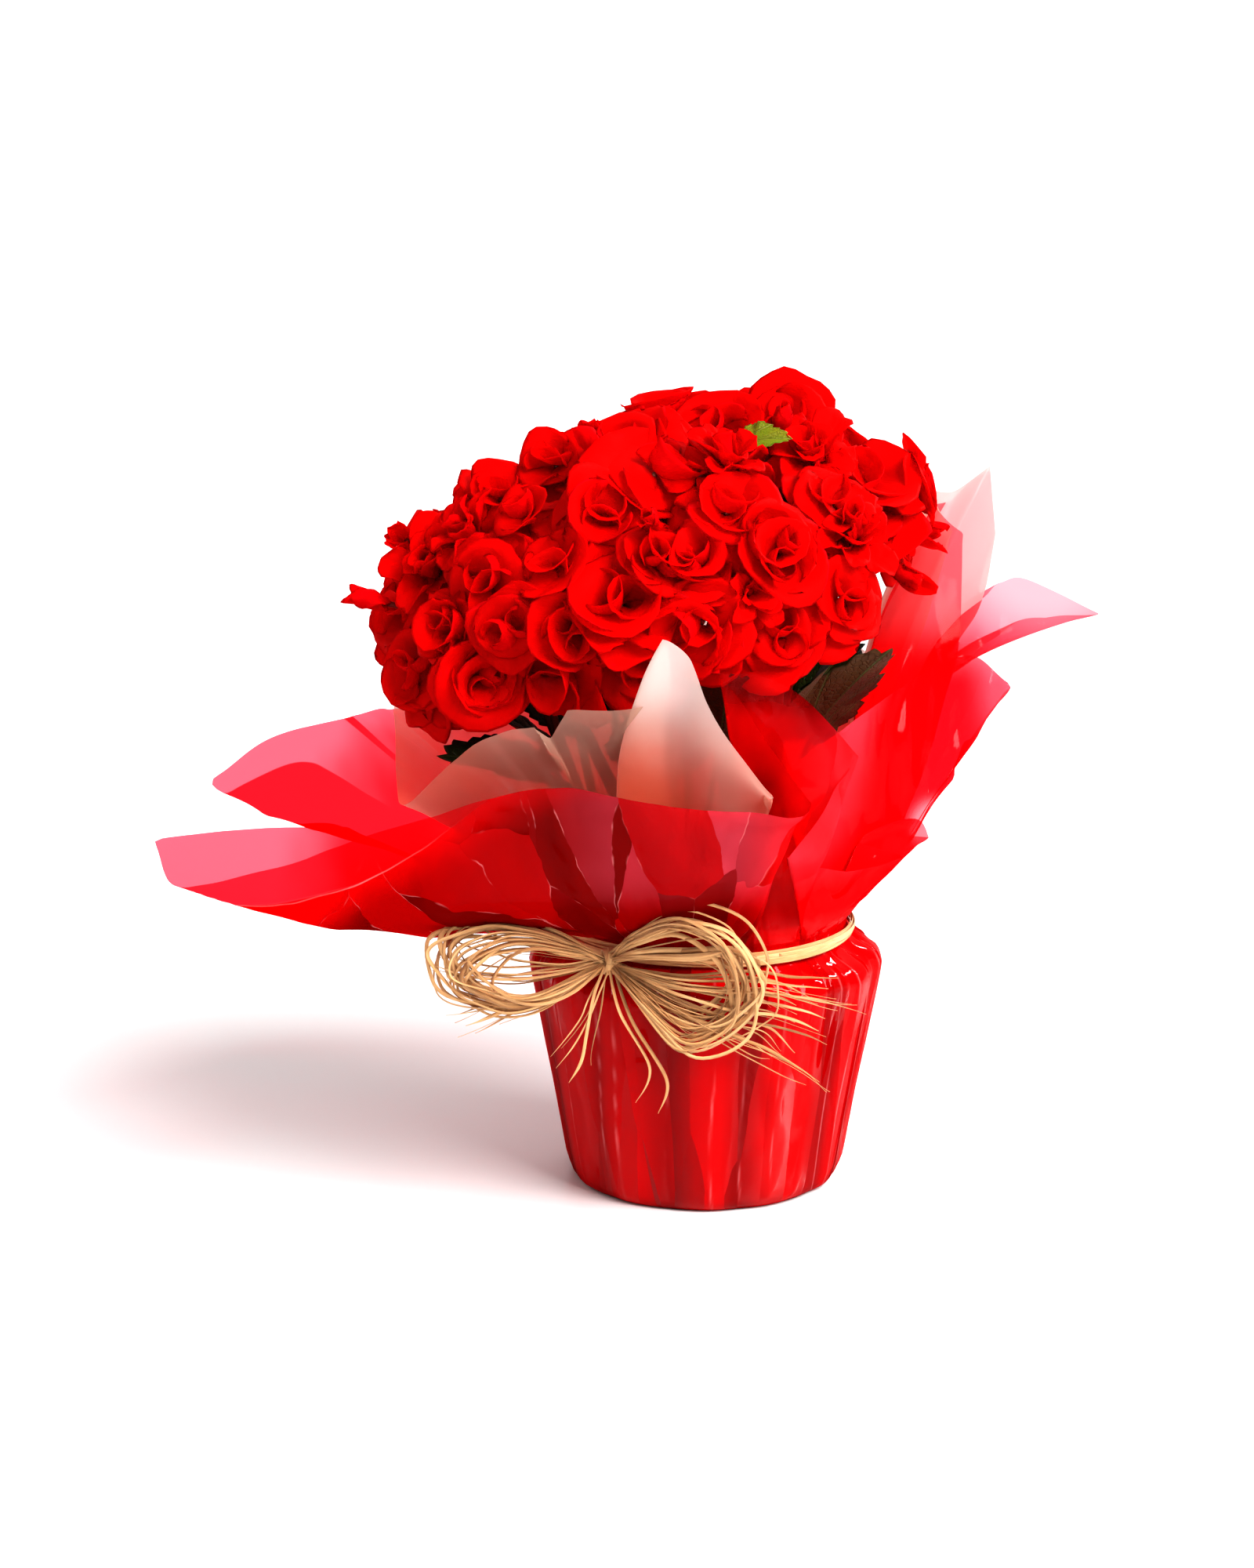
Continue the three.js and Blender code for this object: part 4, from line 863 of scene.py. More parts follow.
def leafBlade(base, along, normal, length, width, tone):
    # A lopsided heart as a polar grid: p along and q across. It folds up along its midrib, arches down
    # towards its rim, waves at its margin, has teeth of two sizes and sinks a little along its veins.
    side = unit(np.cross(normal, along))
    angle = 2 * np.pi * np.arange(leafGrid["columns"]) / leafGrid["columns"]
    f = np.linspace(0, 1, leafGrid["rings"])[:, None] ** 0.8
    saw = 1 - (leafGrid["teeth"] * angle / (2 * np.pi)) % 1
    coarse = 1 - (leafGrid["teeth"] / 3 * angle / (2 * np.pi)) % 1
    small, large = leafForm["toothing"]
    tooth = 1 + f**6 * (small * (saw - 0.5) + large * (coarse - 0.5))
    lopsided = np.where(np.sin(angle) > 0, *leafForm["sides"])
    reach = leafForm["reach"] + leafForm["point"] * np.maximum(0, np.cos(angle)) ** 3
    reach = reach - leafForm["heart"] * np.exp(-(((angle - np.pi) / 0.22) ** 2))
    p = leafForm["centre"] * length + f * tooth * length * reach * np.cos(angle)
    q = f * tooth * (width / 2) * lopsided * np.sin(angle)
    fold = leafForm["fold"] * np.sqrt(q**2 + 4) - (leafForm["arch"] * (p**2 + q**2)) / length
    broad, fine = leafForm["waves"]
    wave = f**2 * (broad * np.sin(3 * angle + length) + fine * np.sin(8 * angle + length))
    fan = np.arctan2(q, p + leafDetail["veinFrom"] * length) * leafDetail["veinCount"] / np.pi
    nearVein = np.abs((fan + 0.5) % 1 - 0.5) * np.hypot(p, q) * np.pi / leafDetail["veinCount"]
    sunk = -leafForm["veinDepth"] * np.exp(-((nearVein / leafForm["veinWidth"]) ** 2)) * (1 - f**4)
    grid = base + p[..., None] * along + q[..., None] * side + (fold + wave + sunk)[..., None] * normal
    place = np.stack(np.broadcast_arrays(p / length, q / length, tone), -1)
    return shells(grid[None], leafGrid["thickness"], place[None])


def placedLeaf(azimuth, radius, z, rise, length, width, roll):  # the blade, its foot and where its stalk ends
    base = polar(radius, azimuth, z) + [-6, 0, 0]
    lean, turn = np.radians(rise), np.radians(roll)
    along = polar(np.cos(lean), azimuth, np.sin(lean))
    flat = polar(-np.sin(lean), azimuth, np.cos(lean))
    normal = flat * np.cos(turn) + np.cross(along, flat) * np.sin(turn)
    blade = leafBlade(base, along, normal, length, width, 0.1 + 0.8 * (azimuth % 7) / 7)
    return blade, base, base + leafForm["seat"] * length * along - normal


def innerLeaf(azimuth, elevation, size):  # a leaf that lies under the flowers, standing up along the dome
    tip = domePoint(azimuth, elevation, stemShape["innerDepth"])
    normal = domeNormal(tip.copy())
    along = without(np.array([0, 0, 1.0]), normal)
    base = tip - 0.4 * size * along - 2 * normal
    blade = leafBlade(base, along, normal, size, size * 0.95, 0.8)
    return blade, base + leafForm["seat"] * size * along - normal


def makeStems(clusters, stalk):
    leaf = leafFinish("begonia_leaf", leafLook)
    for index, (name, direction) in enumerate(stemSites):
        path = stemPath(index)
        crown, steps = path[3], stemShape["steps"]
        radii = np.linspace(*stemShape["radii"], steps)[None]
        stems = [tubes(smoothPath(path[None], steps), radii, stemShape["sides"], np.array([0.1]))]
        branches, leaves, petioles = [], [], []
        for cluster in clusters:
            if cluster["stem"] == index and len(cluster["members"]):
                end = cluster["heart"] - stemShape["seat"] * cluster["aim"]
                bend = 0.5 * (crown + end) + polar(2, direction, 0)
                branches.append([crown + 0.1 * (path[2] - crown), bend, end])
        for stem, *shape in leafSites:
            if stem == index:
                blade, base, seat = placedLeaf(*shape)
                leaves.append(blade)
                joint = path[2] + 0.4 * (crown - path[2])
                petioles.append([joint, joint + 0.55 * (base - joint) - [0, 0, 4], seat])
        for stem, *shape in innerLeafSites:
            if stem == index:
                blade, seat = innerLeaf(*shape)
                leaves.append(blade)
                petioles.append([crown + 0.25 * (path[2] - crown), 0.5 * (crown + seat), seat])
        for paths, ends in ((branches, branchShape["flower"]), (petioles, branchShape["leaf"])):
            if paths:
                lines = smoothPath(np.array(paths), branchShape["steps"])
                radii = np.broadcast_to(np.linspace(*ends, branchShape["steps"]), lines.shape[:2])
                stems.append(tubes(lines, radii, branchShape["sides"], np.linspace(0.1, 0.8, len(lines))))
        makePiece("stems_" + name, stems, stalk, "leafy_stem_" + name)
        makePiece("leaves_" + name, leaves, leaf, "leafy_stem_" + name)
    print("stems and leaves:", len(stemSites), "stems,", len(leafSites) + len(innerLeafSites), "leaves")


youngLook = {"dark": (0.12, 0.2, 0.01), "light": (0.3, 0.38, 0.015), "vein": (0.6, 0.68, 0.16),
             "flush": (0.55, 0.12, 0.02), "under": (0.42, 0.5, 0.12)}
youngForm = {"along": (0.86, -0.36, 0.3), "normal": (-0.1, -0.62, 0.78), "length": 24, "width": 17,
             "behind": 10, "seat": 5, "foot": 20, "radii": (1.2, 0.8), "steps": 12}


def makeYoungLeaf(stalk):
    site = np.array(youngSite[:3], float)
    along = unit(np.array(youngForm["along"]))
    normal = without(np.array(youngForm["normal"]), along)
    base = site - youngForm["behind"] * along
    blade = leafBlade(base, along, normal, youngForm["length"], youngForm["width"], 0.6)
    makePiece("leaf_young_blade", [blade], leafFinish("young_leaf", youngLook), "leaf_young")
    seat = base + youngForm["seat"] * along
    foot = site - youngForm["foot"] * domeNormal(site.copy())
    line = smoothPath(np.array([[foot, seat + 0.4 * (foot - seat) - 1.5 * along, seat]]), youngForm["steps"])
    radii = np.linspace(*youngForm["radii"], youngForm["steps"])[None]
    makePiece("leaf_young_stalk", [tubes(line, radii, 8, np.array([0.2]))], stalk, "leaf_young")


outerFilm = {
    "neckRadius": 64, "columns": 704, "collarRows": 74, "seed": 3,
    "gather": 2.3, "crease": 3.2, "ripple": 2.4,
    "profile": [[57, 0.4], [59.3, 2.2], [60.5, 7], [64.5, 30], [69.5, 60], [75, 96], [75.6, 101],
                [73.4, 107], [67, 112.6], [64, 116], [63.6, 119.5], [64, 122.8]],  # radius and z up the pot
    "pleats": 4.4, "wander": 4,
    # angle at the neck, edge point, swell of the rib, 1 at a corner of the sheet or fold
    "edge": [
        [-176, -158, -22, 168, 2, 0], [-172.5, -200, -44, 173, 2, 0], [-169.5, -242, -58, 172, 1, 1],
        [-166, -234, -67, 157, 9, 0], [-161, -217, -85, 160, 19, 0], [-153, -168, -107, 178, 20, 0],
        [-144, -134, -122, 194, 20, 0], [-132, -87, -138, 213, 12, 0], [-120, -66, -142, 216, 10, 0],
        [-108, -40, -143, 212, 9, 0], [-98, -12, -142, 208, 8, 0], [-89, 12, -138, 206, 7, 0],
        [-82, 30, -132, 205, 5, 0], [-75, 40, -116, 204, 2, 1], [-70, 20, -108, 234, -1, 0],
        [-66, 3, -110, 258, -2, 1], [-60, 26, -112, 257, -2, 0], [-54, 64, -106, 221, 0, 1],
        [-51, 50, -98, 196, 1, 0], [-48.5, 33, -90, 172, 1, 1], [-46.5, 62, -56, 156, 1, 0],
        [-44.5, 87, -30, 157, 2, 1], [-42.5, 66, -28, 164, 0, 0], [-40.5, 93, -2, 168, 2, 0],
        [-38.5, 99, 2, 158, 1, 1], [-37, 42, -46, 170, 0, 1], [-35, 30, -58, 196, 0, 0],
        [-32.5, 50, -52, 213, 0, 0], [-29.5, 62, -44, 220, 0, 0], [-25, 87, -16, 231, 0, 0],
        [-20, 119, 8, 239, 1, 0], [-14, 137, 13, 228, 3, 1], [-11, 120, 8, 203, 3, 0],
        [-8, 111, 4, 186, 1, 0], [-5, 99, 2, 170, 1, 1], [-2, 88, 12, 152, 0, 1],
        [1, 112, 28, 226, -4, 0], [4, 116, 34, 289, -8, 1], [6.5, 110, 38, 293, -12, 0],
        [9, 103, 44, 300, -14, 1], [12, 113, 66, 300, -8, 0], [15, 130, 72, 311, -8, 1],
        [18, 134, 74, 281, -12, 1], [20, 128, 75, 252, -16, 0], [22.5, 134, 76, 258, -28, 1],
        [25.5, 146, 78, 260, -34, 0], [31, 184, 78, 242, -38, 1], [36, 149, 78, 236, -38, 0],
        [41, 123, 70, 224, -26, 0], [48, 104, 92, 206, -6, 0],
        [60, 80, 132, 196, 6, 0], [75, 44, 144, 208, 8, 0], [90, -2, 142, 200, 8, 0],
        [105, -48, 142, 197, 8, 0], [119, -92, 142, 190, 7, 0], [132, -130, 128, 184, 5, 0],
        [144, -146, 96, 192, 3, 0], [154, -158, 74, 196, 2, 0], [160, -164, 62, 197, 1, 1],
        [166, -202, 52, 189, 1, 0], [172, -227, 40, 176, 1, 1], [177, -190, 16, 162, 1, 0],
    ],
    # how far the edge rolls back: angle at the neck, half width in degrees, millimetres
    "rolls": [[-14, 4, 5], [-39.5, 2, 5], [172, 5, 3], [-169.5, 4, 3], [-78, 5, 4]],
}
innerFilm = {
    "neckRadius": 62.3, "columns": 620, "collarRows": 62, "seed": 11,
    "gather": 0.9, "crease": 1.4, "ripple": 1.6,
    "profile": [[55.3, 1.6], [57.2, 3], [58.6, 7], [62.6, 30], [67.6, 60], [73.1, 96], [73.9, 101],
                [71.7, 107], [65.3, 112.6], [62.3, 116], [61.9, 119.5], [62.3, 122.8]],
    "pleats": 0.4, "wander": 4,
    # the same, and in some rows how far the rib leans to one side
    "edge": [
        [-176, -139, 12, 203, -5, 0], [-168, -137, -24, 190, -5, 0], [-160, -132, -60, 188, -5, 0],
        [-152, -116, -84, 207, -6, 0], [-142, -99, -99, 225, -6, 0], [-133, -86, -108, 232, -6, 0],
        [-125, -74, -113, 235, -6, 1], [-121, -67, -104, 228, -3, 1], [-116.5, -60, -115, 243, -6, 1],
        [-107, -38, -116, 244, -6, 0], [-103.5, -19, -109, 246, -6, 1, -2], [-101, -17, -113, 262, 4, 0, -14],
        [-98, -19, -118, 274, 10, 0, -24], [-94, -9, -123, 268, 5, 0, -12], [-91, -1, -125, 248, 0, 0, -5],
        [-87, 14, -127, 226, -2, 0, 0], [-83, 29, -127, 215, -2, 1, 0],
        [-76, 13, -67, 141, 0, 0], [-64, 26, -54, 129, 0, 0], [-48, 41, -45, 129, 0, 0],
        [-30, 56, -30, 131, 0, 0], [-18, 64, -12, 150, 0, 0], [-8, 68, 14, 186, 0, 0],
        [0, 88, 34, 214, -4, 0], [3.5, 112, 42, 288, -8, 1], [6, 107, 45, 294, -12, 0],
        [9, 101, 50, 303, -14, 1], [13, 113, 60, 303, -8, 0], [17, 130, 65, 314, -8, 1],
        [20.5, 133, 67, 282, -8, 1], [25, 124, 68, 240, -6, 0], [32, 106, 66, 228, -2, 0],
        [46, 84, 74, 222, -3, 0], [60, 66, 98, 226, -4, 0],
        [75, 34, 112, 232, -6, 0], [92, -10, 114, 236, -6, 0], [110, -60, 112, 238, -6, 0],
        [126, -98, 96, 226, -6, 0], [140, -118, 78, 214, -5, 0], [152, -138, 60, 210, -5, 0],
        [166, -141, 40, 206, -5, 0],
    ],
    "rolls": [[-83, 3, 5], [9, 3, -3]],
}


def ribsAt(edge, columns):
    # Ribs between the control ribs: cubic pieces through them all, whose slope is shared at a smooth rib and
    # one-sided at a corner. Columns are spread by the square root of the edge's length.
    values = np.array([row + [0] * (7 - len(row)) for row in edge], float)
    values = values[:, [0, 1, 2, 3, 4, 6, 5]]  # the corner mark last
    values = np.concatenate([values, values[:1] + [360, 0, 0, 0, 0, 0, 0]])
    gap = np.diff(values[:, :6], axis=0)
    step = np.sqrt(np.linalg.norm(gap[:, 1:4], axis=1) + 3)
    slope = gap / step[:, None]
    before = np.roll(slope, 1, 0)
    stepBefore = np.roll(step, 1)
    shared = (slope * stepBefore[:, None] + before * step[:, None]) / (step + stepBefore)[:, None]
    corner = values[:-1, 6:] > 0
    leaving = np.where(corner, slope, shared)
    arriving = np.roll(np.where(corner, before, shared), -1, 0)
    ends = np.concatenate([[0], step.cumsum()])
    spot = np.linspace(0, ends[-1], columns, endpoint=False)
    i = np.searchsorted(ends, spot, side="right") - 1
    t = ((spot - ends[i]) / step[i])[:, None]
    start, rise = values[i, :6], gap[i]
    a, b = leaving[i] * step[i][:, None], arriving[i] * step[i][:, None]
    ribs = start + a * t + (3 * rise - 2 * a - b) * t**2 + (a + b - 2 * rise) * t**3
    ribs[:, 0] = (start + rise * t)[:, 0]
    return ribs


def turned(angle, at):  # degrees from at to angle, the short way round
    return (angle - at + 180) % 360 - 180


def foldsAt(count, seed):  # directions and heights of uneven folds, one out and one in
    rng = np.random.default_rng(seed)
    at = 360 * (np.arange(2 * count) + rng.uniform(-0.36, 0.36, 2 * count)) / (2 * count)
    return at, rng.uniform(0.25, 1, 2 * count) * np.tile([1, -1], count)


def pleated(angle, count, seed):  # from -1 to 1: straight slopes between the folds, round the axis
    at, high = foldsAt(count, seed)
    return np.interp(angle, at, high, period=360)


def foldLines(angle, count, seed):  # 1 on a fold, 0 away from it
    at, _ = foldsAt(count, seed)
    away = np.abs(turned(angle[..., None], at)).min(-1)
    return np.exp(-((away / 0.3) ** 2))


def ridges(angle, count, seed):  # sharp crests round the axis, uneven in place, width and height
    rng = np.random.default_rng(seed)
    at = 360 * (np.arange(count) + rng.uniform(-0.32, 0.32, count)) / count
    wide = 360 / count * rng.uniform(0.2, 0.5, count)
    high = rng.uniform(0.35, 1, count)
    away = np.abs(turned(angle[..., None], at)) / wide
    return (high * np.exp(-away)).max(-1)


# how many folds of each kind go round, sizes in millimetres, and rows of the grid
filmFolds = {"broad": 12, "fine": 27, "gathers": 46, "long": 19, "cross": 41, "waveSize": 30,
             "crumpleSizes": (46, 21), "discRows": 5, "wallRows": (2, 17, 44)}


def wandering(film, angle, z):  # the angle of a crest, which winds a little on its way down the pot
    return angle + film["wander"] * np.sin(np.radians(angle * 2)) * (1 - z / 100) + np.sin(z / 19)


def potPart(film, angle):
    # Rows from the middle of the base out, up the pot and in to the neck. Down the pot the crests fade and
    # wander round it; just under the neck they give way to the gathers.
    radii, heights = np.array(film["profile"], float).T
    walk = np.concatenate([[0], np.hypot(np.diff(radii), np.diff(heights)).cumsum()])
    foot, middle, top = filmFolds["wallRows"]
    marks = np.concatenate([np.linspace(0, walk[1], foot, endpoint=False),
                            np.linspace(walk[1], walk[4], middle, endpoint=False),
                            np.linspace(walk[4], walk[-1], top)])
    r, z = np.interp(marks, walk, radii)[:, None], np.interp(marks, walk, heights)[:, None]
    seed = film["seed"]
    broad = 0.5 + 0.5 * pleated(wandering(film, angle, z), filmFolds["broad"], seed)
    broad = broad * smooth(-6, 10, z) * (0.6 + 0.4 * smooth(30, 98, z))
    fine = 0.5 + 0.5 * pleated(angle + np.sin(z / 9), filmFolds["fine"], seed + 1)
    fine = fine * (0.25 + 0.75 * smooth(70, 104, z))
    swell = film["pleats"] * (broad + 0.4 * fine * smooth(2, 16, z)) * (1 - smooth(104, 114, z))
    waist = film["gather"] * (ridges(angle + 0 * z, filmFolds["gathers"], seed + 2) - 0.5)
    wall = polar(r + swell + waist * smooth(100, 113, z) * 0.5, angle + 0 * z, z + 0 * angle)
    disc = np.linspace(0, 1, filmFolds["discRows"] + 2)[1:-1, None]
    floor = polar(disc * radii[0], angle + 0 * disc, heights[0] + 0 * disc * angle)
    levels = np.concatenate([floor[..., 2], z + 0 * angle])
    return np.concatenate([floor, wall]), levels, heights[-1]


def filmSurface(film):
    # The pot's part, then a row for each step t along the ribs: straight from neck to edge, plus a swell out
    # and a lean to the side that both go with 4t(1-t). Past the neck fine gathers fade out and long creases
    # take over, crumples and ripples grow, and the edge rolls back where rolls says.
    ribs = ribsAt(film["edge"], film["columns"])
    angle, tip, bow, lean = ribs[:, 0], ribs[:, 1:4], ribs[:, 4:5], ribs[:, 5:]
    pot, levels, neckZ = potPart(film, angle)
    neck = polar(film["neckRadius"], angle, neckZ)
    t = (np.linspace(0, 1, film["collarRows"] + 1)[1:])[:, None, None]
    middle = np.arctan2(neck[:, 1] + tip[:, 1], neck[:, 0] + tip[:, 0])
    out = np.stack([np.cos(middle), np.sin(middle), 0 * middle - 0.5], -1)
    side = np.stack([-np.sin(middle), np.cos(middle), 0 * middle], -1)
    collar = neck + (tip - neck) * t + (out * bow + side * lean) * 4 * t * (1 - t)
    grid = np.concatenate([pot, collar])
    across = np.roll(grid, -1, 1) - np.roll(grid, 1, 1)
    normals = unit(np.cross(across, np.gradient(grid, axis=0)))
    along = np.concatenate([np.zeros(len(pot)), t[:, 0, 0]])[:, None]

    seed = film["seed"]
    gathers = ridges(angle, filmFolds["gathers"], seed + 2) - 0.5
    long = pleated(angle + 6 * along, filmFolds["long"], seed + 3)
    cross = pleated(angle - 4 * along, filmFolds["cross"], seed + 4)
    large, small = filmFolds["crumpleSizes"]
    crumple = np.abs(softNoise(grid, large, seed)) - 0.3
    crumple = crumple + 0.5 * (np.abs(softNoise(grid, small, seed + 5)) - 0.3)
    ripple = softNoise(grid, filmFolds["waveSize"], seed + 9)
    creases = (long + 0.5 * cross) * smooth(0.02, 0.3, along) * (1 - 0.7 * along)
    shift = film["gather"] * (gathers * (1 - smooth(0, 0.34, along)) + creases)
    shift = shift - film["crease"] * crumple * smooth(0.04, 0.4, along) + film["ripple"] * ripple * along**3
    shift = np.where(along > 0, shift, 0) * smooth(0, 0.03, along)
    roll = sum(amount * np.exp(-(turned(angle, at) / wide) ** 2) for at, wide, amount in film["rolls"])
    curl = smooth(0.84, 1, along) ** 1.5 * roll
    ribWay = unit(tip - neck)
    grid = grid + normals * (shift + curl)[..., None] - ribWay * (0.7 * curl)[..., None]

    levels = np.concatenate([levels, 0 * t[:, :, 0] * angle + neckZ])
    wall = wandering(film, angle, levels)
    # line marks the folds on the pot part, where the finish paints highlight lines; high is each fold's
    # height, and the finish paints shade in its troughs
    line = np.where(along > 0, 0, foldLines(wall, filmFolds["broad"], seed))
    high = np.where(along > 0, long, pleated(wall, filmFolds["broad"], seed))
    place = np.stack(np.broadcast_arrays(line, np.radians(angle) * placeScale, 0.5 + 0.5 * high), -1)
    return grid, place


def makeFilm(name, film, finish, node):
    grid, place = filmSurface(film)
    rows, columns, _ = grid.shape
    centre = np.array([[0, 0, grid[0, 0, 2]]])
    fan, sides = gridFaces(rows, columns)
    faces = np.concatenate([fan] + sides)
    points = np.concatenate([centre, grid.reshape(-1, 3)])
    places = np.concatenate([place[0, :1], place.reshape(-1, 3)])
    piece = makePiece(name, [(points, faces, places)], finish, node)
    first, second, third = np.swapaxes(points[faces], 0, 1)
    spread = 0.5 * np.linalg.norm(np.cross(second - first, third - first), axis=1).sum()
    print(name, "area", round(spread * 1e-6, 4), "m2,", len(faces), "triangles")
    return piece


potShape = {
    "profile": [[0, 2.4], [52, 2.4], [53, 3.2], [67.6, 90], [71, 90.7], [71.3, 91.4], [71.3, 98.7],
                [70.8, 99.5], [68.1, 99.5], [67.6, 99], [66.2, 90.5], [51.8, 6], [51, 5.4], [0, 5.4]],
    "columns": 120,
}
soilShape = {"low": 5.7, "top": 91, "lowRadius": 51.3, "topRadius": 65.7, "crown": 2.5, "columns": 130,
             "rows": 42, "crumbs": 260, "crumbSize": (0.7, 2.4), "paleFrom": 0.72, "seed": 5}


def lathe(profile, columns):
    angle = 360 * np.arange(columns) / columns
    radius, z = np.array(profile[1:-1], float).T
    rings = polar(radius[:, None], angle, z[:, None])[None]
    first, last = np.array([[0, 0, profile[0][1]]]), np.array([[0, 0, profile[-1][1]]])
    place = np.zeros((1, rings.shape[1] * columns + 2, 3))
    return ringSolids(first, rings, last, place)


def makePot():
    makePiece("pot_wall", [lathe(potShape["profile"], potShape["columns"])], potFinish(), "pot")


def soilTop(f):  # height of the soil at share f of its radius: a parabola that falls to the wall
    return soilShape["top"] - 2 + (soilShape["crown"] + 2) * (1 - f**2)


def makeSoil():  # a plug whose top is a lumpy cap, with crumbs of bark and perlite on it
    rng = np.random.default_rng(soilShape["seed"])
    angle = 360 * np.arange(soilShape["columns"]) / soilShape["columns"]
    side = polar(np.array([[soilShape["lowRadius"]], [soilShape["topRadius"]]]), angle,
                 np.array([[soilShape["low"]], [soilShape["top"] - 3]]))
    f = np.linspace(1, 0.03, soilShape["rows"])[:, None]
    cap = polar(f * soilShape["topRadius"], angle, soilTop(f) + 0 * angle)
    lumps = 1.6 * softNoise(cap, 9, 1) + 1.1 * softNoise(cap, 3.6, 2)
    cap[..., 2] += lumps * smooth(0, 0.1, 1 - f)
    rings = np.concatenate([side, cap])[None]
    first = np.array([[0, 0, soilShape["low"]]])
    last = cap[-1].mean(0)[None]
    plug = ringSolids(first, rings, last, np.zeros((1, rings.shape[1] * rings.shape[2] + 2, 3)))
    count = soilShape["crumbs"]
    radius = soilShape["topRadius"] * 0.95 * np.sqrt(rng.uniform(0, 1, count))
    turn = rng.uniform(0, 360, count)
    size = rng.uniform(*soilShape["crumbSize"], count)
    middle = polar(radius, turn, soilTop(radius / soilShape["topRadius"]) + 0.6 * size)
    rows = np.linspace(0, np.pi, 5)[1:-1]
    around = 2 * np.pi * np.arange(6) / 6
    ball = np.stack([np.sin(rows)[:, None] * np.cos(around), np.sin(rows)[:, None] * np.sin(around),
                     np.cos(rows)[:, None] + 0 * around], -1)
    stretch = rng.uniform(0.5, 1.2, (count, 1, 1, 3))
    lumpy = ball * stretch * rng.uniform(0.8, 1.2, (count, 3, 6, 1))
    rings = middle[:, None, None] + size[:, None, None, None] * lumpy
    ends = size[:, None] * stretch[:, 0, 0] * [0, 0, 1]
    pale = (rng.uniform(0, 1, count) > soilShape["paleFrom"]).astype(float)
    place = np.broadcast_to(np.array([0, 0, 1.0]) * pale[:, None, None], (count, 20, 3))
    crumbs = ringSolids(middle + ends, rings, middle - ends, place)
    makePiece("soil_bed", [plug, crumbs], soilFinish(), "soil")
    print("pot and soil")


bow = {"knot": (-42.5, -63, 118), "seed": 23, "loopWidth": (0.5, 2.9), "tailWidth": (0.5, 2.0),
       "loopSpread": 3.4, "tailSpread": 4.0, "loopSteps": 64, "tailSteps": 40, "thick": 0.24, "clear": 1.2,
       "most": 1.05, "jitter": 0.4, "atKnot": 0.9, "wave": 1.6, "waveSize": 17, "roll": 0.8, "twist": 0.9}
knotTurns = {"count": 7, "wide": 5.0, "high": 5.4, "lean": 1.6, "shift": 3.2, "steps": 40,
             "halfThick": 0.3, "halfWidth": 1.6}
band = {"count": 9, "steps": 120, "level": 118.9, "radius": 66.4, "halfThick": 0.2, "halfWidth": (0.8, 1.7)}
bowLoops = [  # how many strands follow each loop, the smallest of them as a share, then its points
    [15, 0.9, [-65, -72, 130], [-88, -76, 136], [-106, -79, 134], [-116, -82, 125], [-113, -83, 112],
     [-96, -83, 103], [-74, -80, 103]],
    [11, 0.84, [-64, -72, 126], [-88, -80, 130], [-105, -85, 123], [-106, -86, 113], [-86, -85, 104],
     [-64, -80, 108]],
    [14, 0.82, [-30, -84, 136], [-9, -102, 149], [12, -103, 141], [22, -98, 118], [16, -93, 97],
     [-6, -92, 87], [-28, -86, 106]],
    [11, 0.68, [-30, -82, 126], [-2, -98, 134], [20, -100, 133], [29, -98, 118], [24, -92, 103],
     [4, -90, 93], [-22, -84, 103]],
]
bowTails = [  # the same for the loose ends
    [12, 0.66, [-12, -88, 114], [20, -90, 112], [44, -88, 109], [63, -85, 106]],
    [9, 0.7, [-12, -88, 110], [18, -90, 103], [40, -87, 97], [52, -86, 92]],
    [8, 0.75, [-14, -86, 104], [10, -88, 92], [34, -88, 80], [49, -88, 70]],
    [10, 0.66, [-70, -74, 117], [-100, -78, 117], [-126, -80, 124]],
    [9, 0.66, [-68, -76, 106], [-92, -80, 99], [-113, -82, 93]],
    [3, 0.7, [-50, -80, 104], [-56, -84, 92], [-66, -84, 78]],
    [2, 0.8, [-50, -80, 100], [-54, -84, 78], [-58, -84, 66]],
    [2, 0.9, [-34, -84, 100], [-18, -86, 76], [-22, -86, 58]],
]


def outsideJacket(points):  # points moved out along the radius until they clear the film on the pot
    radii, heights = np.array(outerFilm["profile"][3:], float).T
    wall = np.interp(points[..., 2], heights, radii) + outerFilm["pleats"] + bow["clear"]
    wall = np.where(points[..., 2] > heights[-1], 0, wall)
    radius = np.linalg.norm(points[..., :2], axis=-1)
    scale = np.maximum(1, wall / np.maximum(radius, 1))[..., None]
    return points * np.where([True, True, False], scale, 1)


